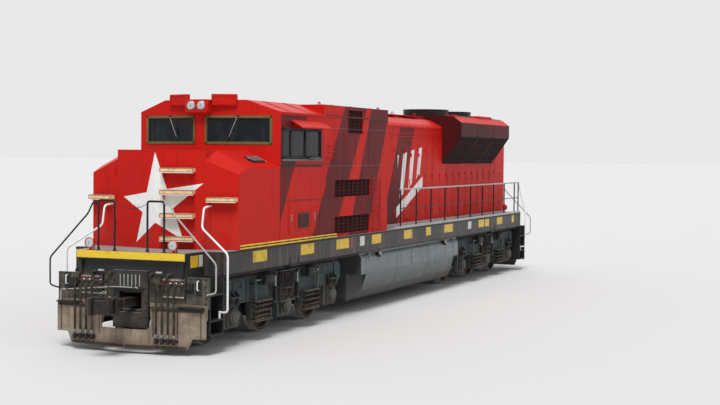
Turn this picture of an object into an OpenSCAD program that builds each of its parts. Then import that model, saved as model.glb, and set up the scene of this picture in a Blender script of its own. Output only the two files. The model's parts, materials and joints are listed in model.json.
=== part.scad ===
// Six-axle diesel freight locomotive with a full-width nose and cab.
// X runs forward, Y to the driver's left and Z up, in millimetres.
// The origin is under the middle of the locomotive, level with the lowest point of the wheel flanges.

/* [Overall] */
// How far the couplers reach past the end plates
coupler_out = 1130; // [950:10:1400]
// Half the length of the underframe, to the outer face of the end plates
frame_reach = 10170; // [8400:10:12300]
// Half the width of the body and of the side sills
body_half_w = 1560; // [1440:10:1880]
// Height of the walkway deck
deck_z = 1796; // [1740:2:2200]
// Depth of the side sills
sill_h = 420; // [350:5:430]

/* [Running gear] */
// Radius of the wheel tread
wheel_r = 533; // [440:1:545]
// Height of the wheel flange
flange_h = 28; // [22:1:34]
// Distance between neighbouring axles of a truck
axle_pitch = 2230; // [1850:10:2300]
// Distance from the end plate back to the truck centre
truck_setback = 3470; // [3400:10:4200]
// Half the width over the truck side frames
truck_half_w = 1330; // [1290:5:1345]
// Distance between the inner faces of the wheels
wheel_back_gap = 1360; // [1140:5:1390]
// Width of a wheel's rim
rim_w = 140; // [115:1:150]
// Diameter of the axle journals
journal_d = 150; // [125:1:180]

/* [Nose and cab] */
// Distance from the end plate back to the corner of the nose
nose_setback = 1110; // [900:10:1350]
// Length of the nose side, from its corner to the cab corner
nose_len = 1696; // [1400:10:2050]
// How far the middle crease of the nose stands ahead of its corners
nose_crease = 340; // [280:5:410]
// Half the width of the raised middle of the nose
crown_half_w = 930; // [800:5:1100]
// Height of the raised middle of the nose
crown_z = 3608; // [3400:2:3640]
// Length of the cab side
cab_len = 2134; // [1900:10:2560]
// How far the middle crease of the cab front stands ahead of its corners
cab_crease = 406; // [340:5:480]
// Height of the cab eaves
eave_z = 4368; // [4300:2:4500]
// Rise of the cab roof above the eaves
roof_rise = 225; // [180:5:270]
// Thickness of the cab walls and roof
cab_wall = 60; // [40:2:80]
// Height of the cab floor
floor_z = 2450; // [2400:5:2600]
// Height of the side window sills
side_sill_z = 3448; // [3350:2:3520]
// Height of the side windows
side_win_h = 620; // [520:5:660]

/* [Hood] */
// Half the width of the engine hood
hood_half_w = 1020; // [850:5:1100]
// Height of the hood eaves
hood_eave_z = 4278; // [4240:2:4320]
// Height of the hood crown
hood_top_z = 4590; // [4560:2:4610]
// Thickness of the hood sheets
hood_wall = 30; // [20:1:45]
// Length of the electrical cabinet behind the cab
cabinet_len = 3645; // [3050:5:4370]
// Distance from the rear end plate to the hood end
hood_setback = 600; // [500:10:720]
// Length of the radiator housing
radiator_len = 4570; // [4000:10:5400]
// Outer radius of the fan shrouds
shroud_r = 640; // [540:5:760]
// Width of a hood door leaf
hood_door_w = 430; // [360:5:440]

/* [Fuel tank] */
// Length of the fuel tank
tank_len = 6800; // [5700:50:6900]
// Half the width of the fuel tank at its widest
tank_half_w = 1540; // [1290:5:1555]

/* [Hidden] */

// Heights
plate_t = 40;                       // heavy steel plate
axle_z = flange_h + wheel_r;
sill_z = deck_z - sill_h;
fit = 0.5;                          // gap of a seat that only touches
run = 12;                           // gap beside a piece that moves
bolster_top = sill_z - 76;          // top of the truck bolster
bolster_z = axle_z + wheel_r + flange_h + 30;
king_pin_d = 200;

// Places along the length
truck_x = frame_reach - truck_setback;
truck_half_len = axle_pitch + 570;
nose_x = frame_reach - nose_setback;
cab_x = nose_x - nose_len;
cab_rear_x = cab_x - cab_len;
cabinet_rear_x = cab_rear_x - cabinet_len;
hood_rear_x = hood_setback - frame_reach;
radiator_rear_x = hood_rear_x + 1310;
radiator_x = radiator_rear_x + radiator_len;
step_x = frame_reach - 550;         // inner end of the step wells
tank_x = tank_len / 2 - 200;        // front end of the tank

// Step wells and end platforms
end_half_w = body_half_w - 440;     // half width of the platforms between the wells
anticlimber_t = 80;
tread_rises = [372, 628, 1080];     // top of each corner tread, from the bottom up

// Cab and nose
nose_angle = atan(nose_crease / body_half_w);
cab_angle = atan(cab_crease / body_half_w);
roof_top_z = eave_z + roof_rise;
roof_flat = body_half_w - 660;      // half width of the flat middle of the roof
shoulder_slope = 0.5;               // fall of the nose shoulders per unit of width
brow_slope = 0.43;                  // fall of the shoulders' front bevel per unit of length
brow_x = nose_x - 280;              // where that bevel begins
win_inner = 110;                    // windscreen edges, measured along the cab front from its crease
win_outer = body_half_w / cos(cab_angle) - 165;
win_z = 3728;
win_h = 560;
side_win = [cab_rear_x + 220, cab_x - 64];
frame_w = 55;                       // width of a window frame
glass_t = 12;
door_gap = 8;
cab_door_y = [-body_half_w + 40, -hood_half_w - 30];
cab_door_z = [floor_z + 25, floor_z + 1790];
door_t = 40;

// Hood
hood_section = [[hood_half_w, deck_z], [hood_half_w, hood_eave_z], [hood_half_w - 60, hood_eave_z + 68],
    [hood_half_w - 320, hood_top_z - 110], [hood_half_w - 670, hood_top_z - 34], [0, hood_top_z]];
cabinet_top_z = hood_top_z - 5;
cabinet_y = body_half_w - 45;
flare_section = [[hood_half_w, 3313], [body_half_w, 4078], [body_half_w, 4436], [body_half_w - 220, 4600],
    [hood_half_w, hood_top_z + 50], [0, hood_top_z + 50]];
flare_top = hood_top_z + 50;
hood_door_x = -780;                 // front edge of the door leaves
hood_door_z = [deck_z + 120, deck_z + 2080];
fan_x = [radiator_x - 1520, radiator_x - 1520 - 2 * shroud_r - 760];
shroud_h = 190;
fan_r = shroud_r - 40;

// Couplers
coupler_z = 904;
coupler_reach = frame_reach + coupler_out;
shank_eye = 105;                    // radius of the coupler's eye
pivot_x = step_x + plate_t + shank_eye + run;
pocket_half_w = 230;
pin_d = 90;
head_x = coupler_reach - 170;       // middle of the knuckle pocket
knuckle_pin = [-40, 130];           // the knuckle's pin, from that point
knuckle_h = 240;

// Railings
rail_r = 19;
post_y = body_half_w - 60;
rail_h = 930;
post_pitch = 1087;
post_count = floor((cabinet_rear_x - 900 + step_x) / post_pitch) + 1;
right_extra = 4;                    // posts more on the right, beside the cabinet
end_post_y = [340, 680];

module box(x, y, z) { translate([x[0], y[0], z[0]]) cube([x[1] - x[0], y[1] - y[0], z[1] - z[0]]); }
module both_sides() { children(); mirror([0, 1, 0]) children(); }
module both_ends() { children(); mirror([1, 0, 0]) children(); }
// A prism along X, from points of Y and Z
module along_x(points, x) { translate([x[0], 0, 0]) rotate([90, 0, 90]) linear_extrude(x[1] - x[0]) polygon(points); }
// A prism along Y, from points of X and Z
module along_y(points, y) { translate([0, y[1], 0]) rotate([90, 0, 0]) linear_extrude(y[1] - y[0]) polygon(points); }
// A round bar from a to b with eight flats
module bar(a, b, r) {
    d = b - a;
    translate(a) rotate([0, acos(d[2] / norm(d)), atan2(d[1], d[0])]) cylinder(r = r, h = norm(d), $fn = 8);
}
// Bars from point to point, with a ball at each bend
module bent_bar(points, r) {
    for (i = [0 : len(points) - 2]) bar(points[i], points[i + 1], r);
    for (i = [1 : 1 : len(points) - 2]) translate(points[i]) cube(1.7 * r, center = true);
}
// Both halves of an outline given for positive Y
function mirrored(half) = concat(half, [for (i = [len(half) - 1 : -1 : 0]) [-half[i][0], half[i][1]]]);
// Places its child on one half of a creased front: X along the face from the crease, Y inwards, Z up
module on_front(crease_x, angle) { translate([crease_x, 0, 0]) rotate([0, 0, 90 + angle]) children(); }

function cab_plan(inset) = [
    [cab_rear_x + inset, body_half_w - inset], [cab_x - inset * tan(45 - cab_angle / 2), body_half_w - inset],
    [cab_x + cab_crease - inset / cos(cab_angle), 0],
    [cab_x - inset * tan(45 - cab_angle / 2), inset - body_half_w], [cab_rear_x + inset, inset - body_half_w]];
function roof_line(drop) = mirrored([[body_half_w, eave_z - drop], [roof_flat, roof_top_z - drop]]);

// One door hinge, upright, its axis at the origin and the shut door on the -X side, behind Y -hinge_off.
// "leaf" is the half on the door and "post" the half on the frame, which sits on the door's head end
hinge_r = 14;
hinge_off = 15;                     // from the hinge axis back to the door's face
module hinge_leaf() {
    cylinder(r = hinge_r, h = 80, $fn = 32);
    box([-hinge_r, 0], [-hinge_off - 1, 0], [0, 80]);
}
module hinge_post(edge, back) {
    translate([0, 0, 80.3]) {
        cylinder(r = hinge_r, h = 50, $fn = 32);
        box([0, edge + 24], [-hinge_r + 6, 0], [0, 50]);
        box([edge + 2, edge + 24], [-back, 0], [0, 50]);
    }
}

// Frame: deck plate on side sills and centre sills, with bolsters over the trucks
sill_t = 60;
center_sill = [280, 340];           // inner and outer face of each centre sill
bolster_half = 350;                 // half length of a body bolster
pocket_drop = 190;                  // bottom of the coupler pocket, below the coupler's centre
pocket_half_h = 150;                // half height inside the pocket
bearing_d = 640;                    // centre bearing on the truck bolster
inner_half_w = body_half_w - sill_t;
under_deck = [sill_z, deck_z - plate_t];
module deck_plate() {
    color("dimgray") {
        box([-step_x, step_x], [-body_half_w, body_half_w], [deck_z - plate_t, deck_z]);
        box([-frame_reach, frame_reach], [-end_half_w, end_half_w], [deck_z - plate_t, deck_z]);
    }
}
module side_sills() {
    color("dimgray") both_sides() box([-step_x, step_x], [inner_half_w, body_half_w], under_deck);
}
module body_bolsters() {
    color("dimgray") both_ends() {
        box([truck_x - bolster_half, truck_x + bolster_half], [-inner_half_w, inner_half_w], under_deck);
        translate([truck_x, 0, bolster_top + fit]) cylinder(d = bearing_d, h = sill_z - bolster_top, $fn = 64);
        translate([truck_x, 0, bolster_top - 60]) cylinder(d = king_pin_d, h = 200, $fn = 48);
    }
}
// The centre sills stop at the bolsters and at the plates that close the step wells
module center_sills() {
    color("dimgray") both_ends() both_sides() {
        box([0, truck_x - bolster_half], center_sill, under_deck);
        box([truck_x + bolster_half, step_x - plate_t], center_sill, under_deck);
        box([step_x, frame_reach - plate_t], center_sill, under_deck);
    }
}
// Pockets that hold the couplers, with their pins, and the plates behind the step wells
module draft_pockets() {
    wall_y = center_sill[0];
    color("dimgray") both_ends() {
        box([step_x - plate_t, step_x], [-inner_half_w, inner_half_w], under_deck);
        difference() {
            box([step_x, frame_reach - plate_t], [-wall_y, wall_y], [coupler_z - pocket_drop, sill_z + 1]);
            box([step_x + plate_t, frame_reach], [-pocket_half_w, pocket_half_w],
                [coupler_z - pocket_half_h, coupler_z + pocket_half_h]);
        }
        translate([pivot_x, 0, coupler_z - pocket_half_h - 20])
            cylinder(d = pin_d, h = 2 * pocket_half_h + 40, $fn = 48);
    }
}

// Anticlimber, end sill and the plate around the coupler, at each end
module end_platforms() {
    color("dimgray") both_ends() difference() {
        union() {
            box([frame_reach, frame_reach + anticlimber_t], [-end_half_w, end_half_w], [deck_z - 160, deck_z]);
            box([frame_reach - plate_t, frame_reach], [-end_half_w, end_half_w], [sill_z, deck_z - plate_t]);
            box([frame_reach - plate_t, frame_reach], [-body_half_w, body_half_w], [828, sill_z]);
            box([frame_reach, frame_reach + 60], [-360, 360], [440, 1460]);
            for (y = [-1, 1]) translate([0, y * 1050, 0])
                box([frame_reach, frame_reach + 60], [-25, 25], [sill_z, deck_z - 160]);
        }
        box([frame_reach - 100, frame_reach + 100], [-pocket_half_w, pocket_half_w],
            [coupler_z - pocket_drop, coupler_z + 180]);
    }
}

// Snow plows: two raked halves that meet at a crease, on brackets from the end plate
plow_lead = 270;                    // how far the crease stands ahead of the end plate
plow_rake = 210;                    // how much of that is lost at the outer edges
plow_t = 30;
plow_top = 828;
plow_notch = [520, 440];            // half width and floor of the gap under the coupler
module plows() {
    angle = atan(plow_rake / body_half_w);
    wide = (body_half_w - 20) / cos(angle);
    half = [[0, 108], [wide - 340, 108], [wide - 250, 308], [wide, 308], [wide, plow_top], [plow_notch[0], plow_top],
        [plow_notch[0], plow_notch[1]], [0, plow_notch[1]]];
    color("rosybrown") both_ends() both_sides() {
        intersection() {
            on_front(frame_reach + plow_lead, angle) translate([0, plow_t, 0]) rotate([90, 0, 0])
                linear_extrude(plow_t) polygon(half);
            box([frame_reach, frame_reach + 600], [0, body_half_w], [0, 900]);
        }
        for (y = [560, 1000, body_half_w - 140]) {
            reach = frame_reach + plow_lead - y * tan(angle) - 12;
            along_y([[frame_reach, plow_top], [reach, plow_top - 30], [reach, 360], [frame_reach, 640]], [y, y + 30]);
        }
        box([frame_reach, frame_reach + 40], [400, body_half_w - 20], [640, plow_top + 70]);
    }
}

// Steps let into the four corners
module corner_steps() {
    color("black") both_ends() both_sides() {
        box([step_x, frame_reach - plate_t], [end_half_w, end_half_w + 30], [340, sill_z + 380]);
        box([step_x, step_x + 30], [end_half_w, body_half_w], [340, sill_z]);
        box([frame_reach - plate_t - 30, frame_reach - plate_t], [end_half_w, body_half_w], [340, sill_z]);
        for (z = tread_rises) box([step_x, frame_reach - plate_t], [end_half_w, body_half_w], [z - 32, z]);
    }
}

module fuel_tank() {
    half = [[tank_half_w - 340, 290], [tank_half_w - 110, 520], [tank_half_w, 900], [tank_half_w, 1240],
        [tank_half_w - 60, sill_z - 60], [tank_half_w - 60, sill_z]];
    color("slategray") difference() {
        along_x(mirrored(half), [tank_x - tank_len, tank_x]);
        both_sides() for (x = [tank_x, tank_x - tank_len]) translate([x, tank_half_w, 260])
            rotate([0, 0, 45]) box([-260, 260], [-260, 260], [0, 620]);
    }
}

module nose() {
    plan = [[cab_x, body_half_w], [nose_x, body_half_w], [nose_x + nose_crease, 0],
        [nose_x, -body_half_w], [cab_x, -body_half_w], [cab_x + cab_crease, 0]];
    tilt = atan(brow_slope);
    color("firebrick") difference() {
        translate([0, 0, deck_z]) linear_extrude(crown_z - deck_z) polygon(plan);
        both_sides() {
            along_x([[crown_half_w, crown_z], [crown_half_w + 1000, crown_z - 1000 * shoulder_slope],
                [crown_half_w + 1000, crown_z + 100], [crown_half_w, crown_z + 100]], [cab_x - 100, nose_x + 600]);
            intersection() {
                translate([brow_x, crown_half_w, crown_z])
                    rotate([-atan(shoulder_slope * cos(tilt)), tilt, 0]) box([-900, 1400], [-900, 1800], [0, 900]);
                box([cab_x, nose_x + 600], [crown_half_w, body_half_w + 200], [deck_z + 600, crown_z + 300]);
            }
        }
    }
}

// Climbing treads on the nose: distance along the face of each tread's middle, its width, its height over the deck
module nose_treads() {
    left = [[450, 640, 1482], [450, 640, 1077], [450, 640, 652], [450, 640, 232], [1290, 560, 954]];
    right = [[1290, 560, 954]];
    color("navajowhite") {
        for (t = left) tread(t);
        mirror([0, 1, 0]) for (t = right) tread(t);
    }
}
module tread(t) {
    on_front(nose_x + nose_crease, nose_angle)
        box([t[0] - t[1] / 2, t[0] + t[1] / 2], [-150, -fit], [deck_z + t[2] - 70, deck_z + t[2]]);
}

module cab() {
    color("firebrick") difference() {
        intersection() {
            translate([0, 0, deck_z]) linear_extrude(roof_top_z) polygon(cab_plan(0));
            along_x(concat([[-body_half_w, deck_z], [body_half_w, deck_z]], roof_line(cab_wall)),
                [cab_rear_x, cab_x + cab_crease]);
        }
        translate([0, 0, floor_z]) linear_extrude(roof_top_z) polygon(cab_plan(cab_wall));
        both_sides() on_front(cab_x + cab_crease, cab_angle)
            box([win_inner, win_outer], [-100, 200], [win_z, win_z + win_h]);
        box(side_win, [-body_half_w - 50, body_half_w + 50], [side_sill_z, side_sill_z + side_win_h]);
        box([cab_rear_x - 50, cab_rear_x + cab_wall + 50], cab_door_y, cab_door_z);
    }
    color("firebrick") for (h = cab_hinge_z) translate([cab_hinge[0], cab_hinge[1], h])
        rotate([0, 0, 90]) hinge_post(door_gap + 12, hinge_off);
    // steps up to the rear door
    color("dimgray") for (s = [[500, 225], [250, 440]])
        box([cab_rear_x - s[0], cab_rear_x], [-body_half_w + 110, -hood_half_w - 25], [deck_z, deck_z + s[1]]);
}

module cab_roof() {
    color("red") intersection() {
        along_x(concat(roof_line(0), [for (i = [3 : -1 : 0]) roof_line(cab_wall)[i]]), [cab_rear_x, cab_x + cab_crease]);
        translate([0, 0, eave_z - 300]) linear_extrude(roof_rise + 400) polygon(cab_plan(0));
    }
}

// A framed pane between a and b along X, standing from z to z + h, set into a wall of Y 0 to t
module pane(a, b, z, h, t, posts = []) {
    difference() {
        box([a, b], [0, t], [z, z + h]);
        box([a + frame_w, b - frame_w], [-1, t + 1], [z + frame_w, z + h - frame_w]);
    }
    for (p = posts) box([p - 25, p + 25], [0, t], [z + frame_w - 1, z + h - frame_w + 1]);
    box([a + frame_w, b - frame_w], [t / 2 - glass_t / 2, t / 2 + glass_t / 2], [z + frame_w, z + h - frame_w]);
}
module windscreens() {
    color("darkkhaki") both_sides() on_front(cab_x + cab_crease, cab_angle)
        pane(win_inner, win_outer, win_z, win_h, cab_wall);
}
module side_windows() {
    color("dimgray") both_sides() translate([0, body_half_w - cab_wall, 0])
        pane(side_win[0], side_win[1], side_sill_z, side_win_h, cab_wall, [side_win[1] - 420, side_win[0] + 760]);
}
module sun_visors() {
    y = body_half_w;
    color("firebrick") both_sides() along_x([[y, 4200], [y + 250, 4058], [y + 250, 4082], [y, 4226]],
        [cab_rear_x + 250, cab_x - 470]);
}

// Blank number boards and twin lamps over the windscreens, and the same on the hood end.
// The front boards turn outward a little more than the cab face that they are let into.
board_angle = cab_angle + 5.4;
board_ahead = 132;                  // how far their faces would meet ahead of the cab's crease
board_span = [298, 798];            // along the face, from the middle
module number_boards() {
    color("firebrick") {
        difference() {
            union() {
                both_sides() on_front(cab_x + cab_crease + board_ahead, board_angle)
                    box(board_span, [0, 113], [eave_z + 102, roof_top_z + 107]);
                box([cab_x + 160, cab_x + cab_crease + 150], [-250, 250], [eave_z - 40, roof_top_z]);
            }
            translate([0, 0, deck_z]) linear_extrude(roof_top_z - deck_z) polygon(cab_plan(0));
            both_sides() lamp_hole(cab_x + cab_crease + 150, 110, eave_z + 105);
        }
        difference() {
            union() {
                both_sides() box([hood_rear_x - 60, hood_rear_x], [330, 860], [4060, 4230]);
                box([hood_rear_x - 90, hood_rear_x], [-250, 250], [3900, 4120]);
            }
            both_sides() lamp_hole(hood_rear_x - 50, 110, 4010);
        }
    }
    color("white") both_sides() {
        lamp_lens(cab_x + cab_crease + 110, 110, eave_z + 105);
        lamp_lens(hood_rear_x - 32, 110, 4010);
    }
}
module lamp_hole(x, y, z) { translate([x - 40, y, z]) rotate([0, 90, 0]) cylinder(d = 176, h = 80, $fn = 48); }
module lamp_lens(x, y, z) { translate([x, y, z]) rotate([0, 90, 0]) cylinder(d = 175, h = 22, $fn = 48); }

module seats() {
    seat_x = cab_rear_x + 700;
    color("saddlebrown") both_sides() translate([seat_x, 860, floor_z]) {
        cylinder(d = 110, h = 420, $fn = 32);
        box([-180, 180], [-180, 180], [0, 30]);
        box([-260, 280], [-260, 260], [420, 540]);
        along_y([[-260, 540], [-160, 540], [-250, 1190], [-340, 1190]], [-240, 240]);
    }
}
module control_desk() {
    desk_x = cab_x - 560;
    color("dimgray") {
        along_y([[desk_x, floor_z], [cab_x - 130, floor_z], [cab_x - 130, win_z - 90], [desk_x, win_z - 230]],
            [-body_half_w + cab_wall + 20, -300]);
        along_y([[desk_x + 120, floor_z], [cab_x - 130, floor_z], [cab_x - 130, win_z - 130], [desk_x + 120, win_z - 200]],
            [500, body_half_w - cab_wall - 20]);
    }
}
cab_hinge = [cab_rear_x - hinge_off, cab_door_y[1] - 2 * door_gap - 4];
cab_hinge_z = [cab_door_z[0] + 240, cab_door_z[1] - 320];
module cab_door() {
    y = [cab_door_y[0] + 2 * door_gap, cab_door_y[1] - door_gap];
    z = [cab_door_z[0] + door_gap, cab_door_z[1] - door_gap];
    color("firebrick") {
        difference() {
            box([cab_rear_x, cab_rear_x + door_t], y, z);
            box([cab_rear_x - 1, cab_rear_x + door_t + 1], [y[0] + 80, y[1] - 80], [z[1] - 700, z[1] - 100]);
        }
        box([cab_rear_x + 14, cab_rear_x + 26], [y[0] + 80, y[1] - 80], [z[1] - 700, z[1] - 100]);
        box([cab_rear_x - 50, cab_rear_x], [y[0] + 30, y[0] + 54], [z[0] + 840, z[0] + 980]);
        for (h = cab_hinge_z) translate([cab_hinge[0], cab_hinge[1], h]) rotate([0, 0, 90]) hinge_leaf();
    }
}

module electrical_cabinet() {
    x = [cabinet_rear_x, cab_rear_x];
    color("firebrick") difference() {
        box(x, [-hood_half_w, cabinet_y], [deck_z, cabinet_top_z]);
        // grille recesses on the left side
        box([x[1] - 2580, x[1] - 580], [cabinet_y - 40, cabinet_y + 1], [2640, 3010]);
        box([x[1] - 2560, x[1] - 580], [cabinet_y - 40, cabinet_y + 1], [deck_z + 60, 2230]);
        box([x[1] - 2120, x[1] - 1280], [cabinet_y - 40, cabinet_y + 1], [4010, 4510]);
        box([x[0] + 700, x[1] - 900], [-hood_half_w - 1, 40 - hood_half_w], [2700, 3900]);
    }
}

hood_face = hood_half_w + 5;        // outer face of the door leaves
hood_hinge = [hood_door_x - 20, hood_face + hinge_off];
hood_hinge_z = [hood_door_z[0] + 220, hood_door_z[1] - 300];
module engine_hood() {
    x = [hood_rear_x, cabinet_rear_x];
    inner = [for (p = hood_section) [max(p[0] - hood_wall, 0), p[1] - (p[1] > deck_z ? hood_wall : 1)]];
    color("firebrick") {
        difference() {
            along_x(mirrored(hood_section), x);
            along_x(mirrored(inner), [x[0] + hood_wall, x[1] - hood_wall]);
            both_sides() box([hood_door_x - hood_door_w, hood_door_x],
                [hood_half_w - hood_wall - 10, hood_half_w + 30], hood_door_z);
        }
        both_sides() for (h = hood_hinge_z)
            translate([hood_hinge[0], hood_hinge[1], h]) hinge_post(20, hood_hinge[1] - hood_half_w);
    }
}
module hood_door() {
    x = [hood_door_x - hood_door_w + door_gap, hood_door_x - door_gap];
    z = [hood_door_z[0] + door_gap, hood_door_z[1] - door_gap];
    box(x, [hood_half_w - 25, hood_face], z);
    for (h = hood_hinge_z) translate([hood_hinge[0], hood_hinge[1], h]) hinge_leaf();
    box([x[0] + 20, x[0] + 40], [hood_face, hood_face + 25], [z[0] + 860, z[0] + 1020]);
}
module left_hood_door() { color("firebrick") hood_door(); }
module right_hood_door() { color("firebrick") mirror([0, 1, 0]) hood_door(); }

// The diesel engine, as one plain block on the deck
module engine_block() {
    color("gray") box([radiator_x + 420, cabinet_rear_x - 700], [-560, 560], [deck_z, deck_z + 1750]);
}

module radiator_housing() {
    color("maroon") difference() {
        along_x(mirrored(flare_section), [radiator_rear_x, radiator_x]);
        along_x(mirrored(concat([[hood_half_w, 3000]], [for (i = [1 : 5]) hood_section[i]])),
            [radiator_rear_x - 10, radiator_x + 10]);
    }
}
module fan_shrouds() {
    color("black") for (x = fan_x) translate([x, 0, flare_top]) {
        difference() {
            cylinder(r = shroud_r, h = shroud_h, $fn = 96);
            translate([0, 0, -1]) cylinder(r = shroud_r - 22, h = shroud_h + 2, $fn = 96);
        }
        cylinder(r = 150, h = 60, $fn = 48);
        cylinder(r = 30, h = 150, $fn = 32);
    }
}
module fan(x) {
    blades = 8;
    color("silver") translate([x, 0, flare_top + 60 + fit]) difference() {
        union() {
            cylinder(r = 130, h = 80, $fn = 48);
            for (i = [0 : blades - 1]) rotate([0, 0, i * 360 / blades]) translate([110, 0, 40])
                rotate([24, 0, 0]) box([0, fan_r - 130], [-70, 70], [-4, 4]);
        }
        translate([0, 0, -1]) cylinder(r = 30 + fit, h = 100, $fn = 48);
    }
}
module front_fan() { fan(fan_x[0]); }
module rear_fan() { fan(fan_x[1]); }

// Posts and rails along the walkways
module side_railings() {
    posts = [for (i = [0 : post_count - 1]) cabinet_rear_x - 915 - i * post_pitch];
    last = -step_x + 80;
    color("black") {
        railing(concat(posts, [last]));
        mirror([0, 1, 0]) railing(concat([for (i = [right_extra : -1 : 1]) posts[0] + i * (post_pitch - 120)], posts, [last]));
    }
}
module railing(xs) {
    for (x = xs) bar([x, post_y, deck_z], [x, post_y, deck_z + rail_h], rail_r);
    bar([xs[0] + rail_r, post_y, deck_z + rail_h], [xs[len(xs) - 1] - rail_r, post_y, deck_z + rail_h], rail_r);
    bar([xs[0] + rail_r, post_y, deck_z + 470], [xs[len(xs) - 1] - rail_r, post_y, deck_z + 470], rail_r * 0.6);
}

// Rails over the anticlimbers, and grab rails that reach down beside the corner steps
grab_out = body_half_w + 130;       // how far out the grab rails stand
grab_x = step_x + 110;
module end_railings() {
    top = deck_z + 900;
    face = frame_reach + anticlimber_t / 2;
    color("black") both_ends() both_sides() {
        for (y = end_post_y) bar([face, y, deck_z], [face, y, top + rail_r], rail_r);
        bar([face, end_post_y[0] + rail_r, top], [face, end_post_y[1] - rail_r, top], rail_r);
        bent_bar([[face, end_post_y[1], top - 30], [face, end_post_y[1] + 110, top - 30], [face, end_post_y[1] + 220, top - 240],
            [face, grab_out + 30, 1630], [face, grab_out + 30, 1128], [face, body_half_w - 20, 1088]], rail_r);
        bar([frame_reach, body_half_w - 20, 1088], [face + rail_r, body_half_w - 20, 1088], rail_r);
    }
}
// White grab rails beside the corner steps
module grab_rails() {
    color("white") both_sides() {
        face_x = nose_x + nose_crease * (1 - 1040 / body_half_w) + 6;
        grab_rail([[face_x, 1040, deck_z + 804], [nose_x + 390, 1050, deck_z + 774], [nose_x + 460, 1050, deck_z + 414]]);
        mirror([1, 0, 0]) grab_rail([[step_x - 80 + rail_r, post_y, deck_z + 850], [step_x, post_y, deck_z + 850]]);
    }
}
module grab_rail(start) {
    foot = [grab_x, body_half_w - 30, 740];
    bent_bar(concat(start, [[grab_x, grab_out, deck_z - 26], [grab_x, grab_out, foot[2]], foot]), rail_r);
    bar([foot[0], foot[1], foot[2] + rail_r], [foot[0], foot[1], tread_rises[1]], rail_r);
}

module ditch_lights() {
    color("silver") both_ends() both_sides()
        translate([frame_reach + anticlimber_t - 70, 860, deck_z]) {
            box([-60, 60], [-55, 55], [0, 50]);
            translate([-60, 0, 130]) rotate([0, 90, 0]) cylinder(d1 = 130, d2 = 200, h = 120, $fn = 48);
        }
}

// Brake and jumper hoses: each drops from its cock on the end plate to a parking bracket on the plow,
// and a looped one hangs between two cocks on either side of the coupler
hose_y = [660, 780, 900, 1020];
hose_r = 22;
hose_bend = 130;
hose_top = 1240;
hose_foot = 330;
module end_hoses() {
    color("black") both_ends() both_sides() {
        for (y = hose_y) translate([frame_reach, y, hose_top]) {
            rotate([0, 90, 0]) cylinder(r = 38, h = 60, $fn = 32);
            rotate([0, 90, 0]) cylinder(r = hose_r, h = 150, $fn = 32);
            translate([150, 0, -hose_bend]) rotate([90, 0, 0]) rotate_extrude(angle = 90, $fn = 48)
                translate([hose_bend, 0]) circle(r = hose_r, $fn = 32);
            translate([150 + hose_bend, 0, hose_foot - hose_top])
                cylinder(r = hose_r, h = hose_top - hose_bend - hose_foot, $fn = 32);
            translate([150 + hose_bend, 0, hose_foot - 120 - hose_top]) cylinder(r = 36, h = 120, $fn = 32);
            // parking bracket, from the plow
            lead = plow_lead - y * plow_rake / body_half_w;
            box([lead + 3, 150 + hose_bend], [-12, 12], [hose_foot - 100 - hose_top, hose_foot - 40 - hose_top]);
        }
        translate([frame_reach + 60, 600, 1400]) {
            for (y = [-180, 180]) translate([-60, y, 0]) rotate([0, 90, 0]) cylinder(r = 45, h = 110, $fn = 32);
            rotate([0, 90, 0]) rotate([0, 0, -90]) rotate_extrude(angle = 180, $fn = 64)
                translate([180, 0]) circle(r = 28, $fn = 32);
        }
    }
}

// Coupler: a shank that swings on its pin, and a head with a knuckle
module coupler() {
    half_w = 62;
    color("dimgray") difference() {
        union() {
            box([pivot_x, head_x - 200], [-half_w, half_w], [coupler_z - 80, coupler_z + 80]);
            translate([pivot_x, 0, coupler_z - 80]) cylinder(r = shank_eye, h = 160, $fn = 48);
            translate([head_x, 0, coupler_z - 150]) linear_extrude(300)
                polygon([[-330, -62], [-200, -190], [-40, -235], [110, -235], [165, -175], [150, -140], [20, -105],
                    [-60, -20], [-60, 50], [-20, 70], [-20, 215], [-180, 215], [-330, 62]]);
            for (z = [coupler_z - 150, coupler_z + 122]) translate([head_x, 0, z]) linear_extrude(28)
                polygon([[-180, 60], [20, 60], [30, 200], [-60, 215], [-180, 215]]);
        }
        translate([pivot_x, 0, coupler_z - 100]) cylinder(d = pin_d + 2 * fit, h = 200, $fn = 48);
        // pocket for the tail of the knuckle
        translate([head_x, 0, coupler_z - knuckle_h / 2 - 5]) linear_extrude(knuckle_h + 10)
            polygon([[-115, 40], [-115, 240], [60, 240], [60, 40]]);
        translate([head_x + knuckle_pin[0], knuckle_pin[1], coupler_z - 200]) cylinder(d = 46, h = 400, $fn = 32);
    }
}
module knuckle() {
    pin = [head_x + knuckle_pin[0], knuckle_pin[1]];
    color("gray") {
        translate([head_x, 0, coupler_z - knuckle_h / 2]) linear_extrude(knuckle_h)
            polygon([[-85, 80], [-85, 180], [-10, 205], [90, 190], [160, 120], [172, 10], [150, -60], [100, -70],
                [88, 10], [60, 62], [10, 76]]);
        translate([pin[0], pin[1], coupler_z - 158]) cylinder(d = 44, h = 316, $fn = 32);
        translate([pin[0], pin[1], coupler_z + 150 + fit]) cylinder(d = 66, h = 16, $fn = 32);
    }
}
module front_coupler() { coupler(); }
module front_knuckle() { knuckle(); }
module rear_coupler() { rotate([0, 0, 180]) coupler(); }
module rear_knuckle() { rotate([0, 0, 180]) knuckle(); }

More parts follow.
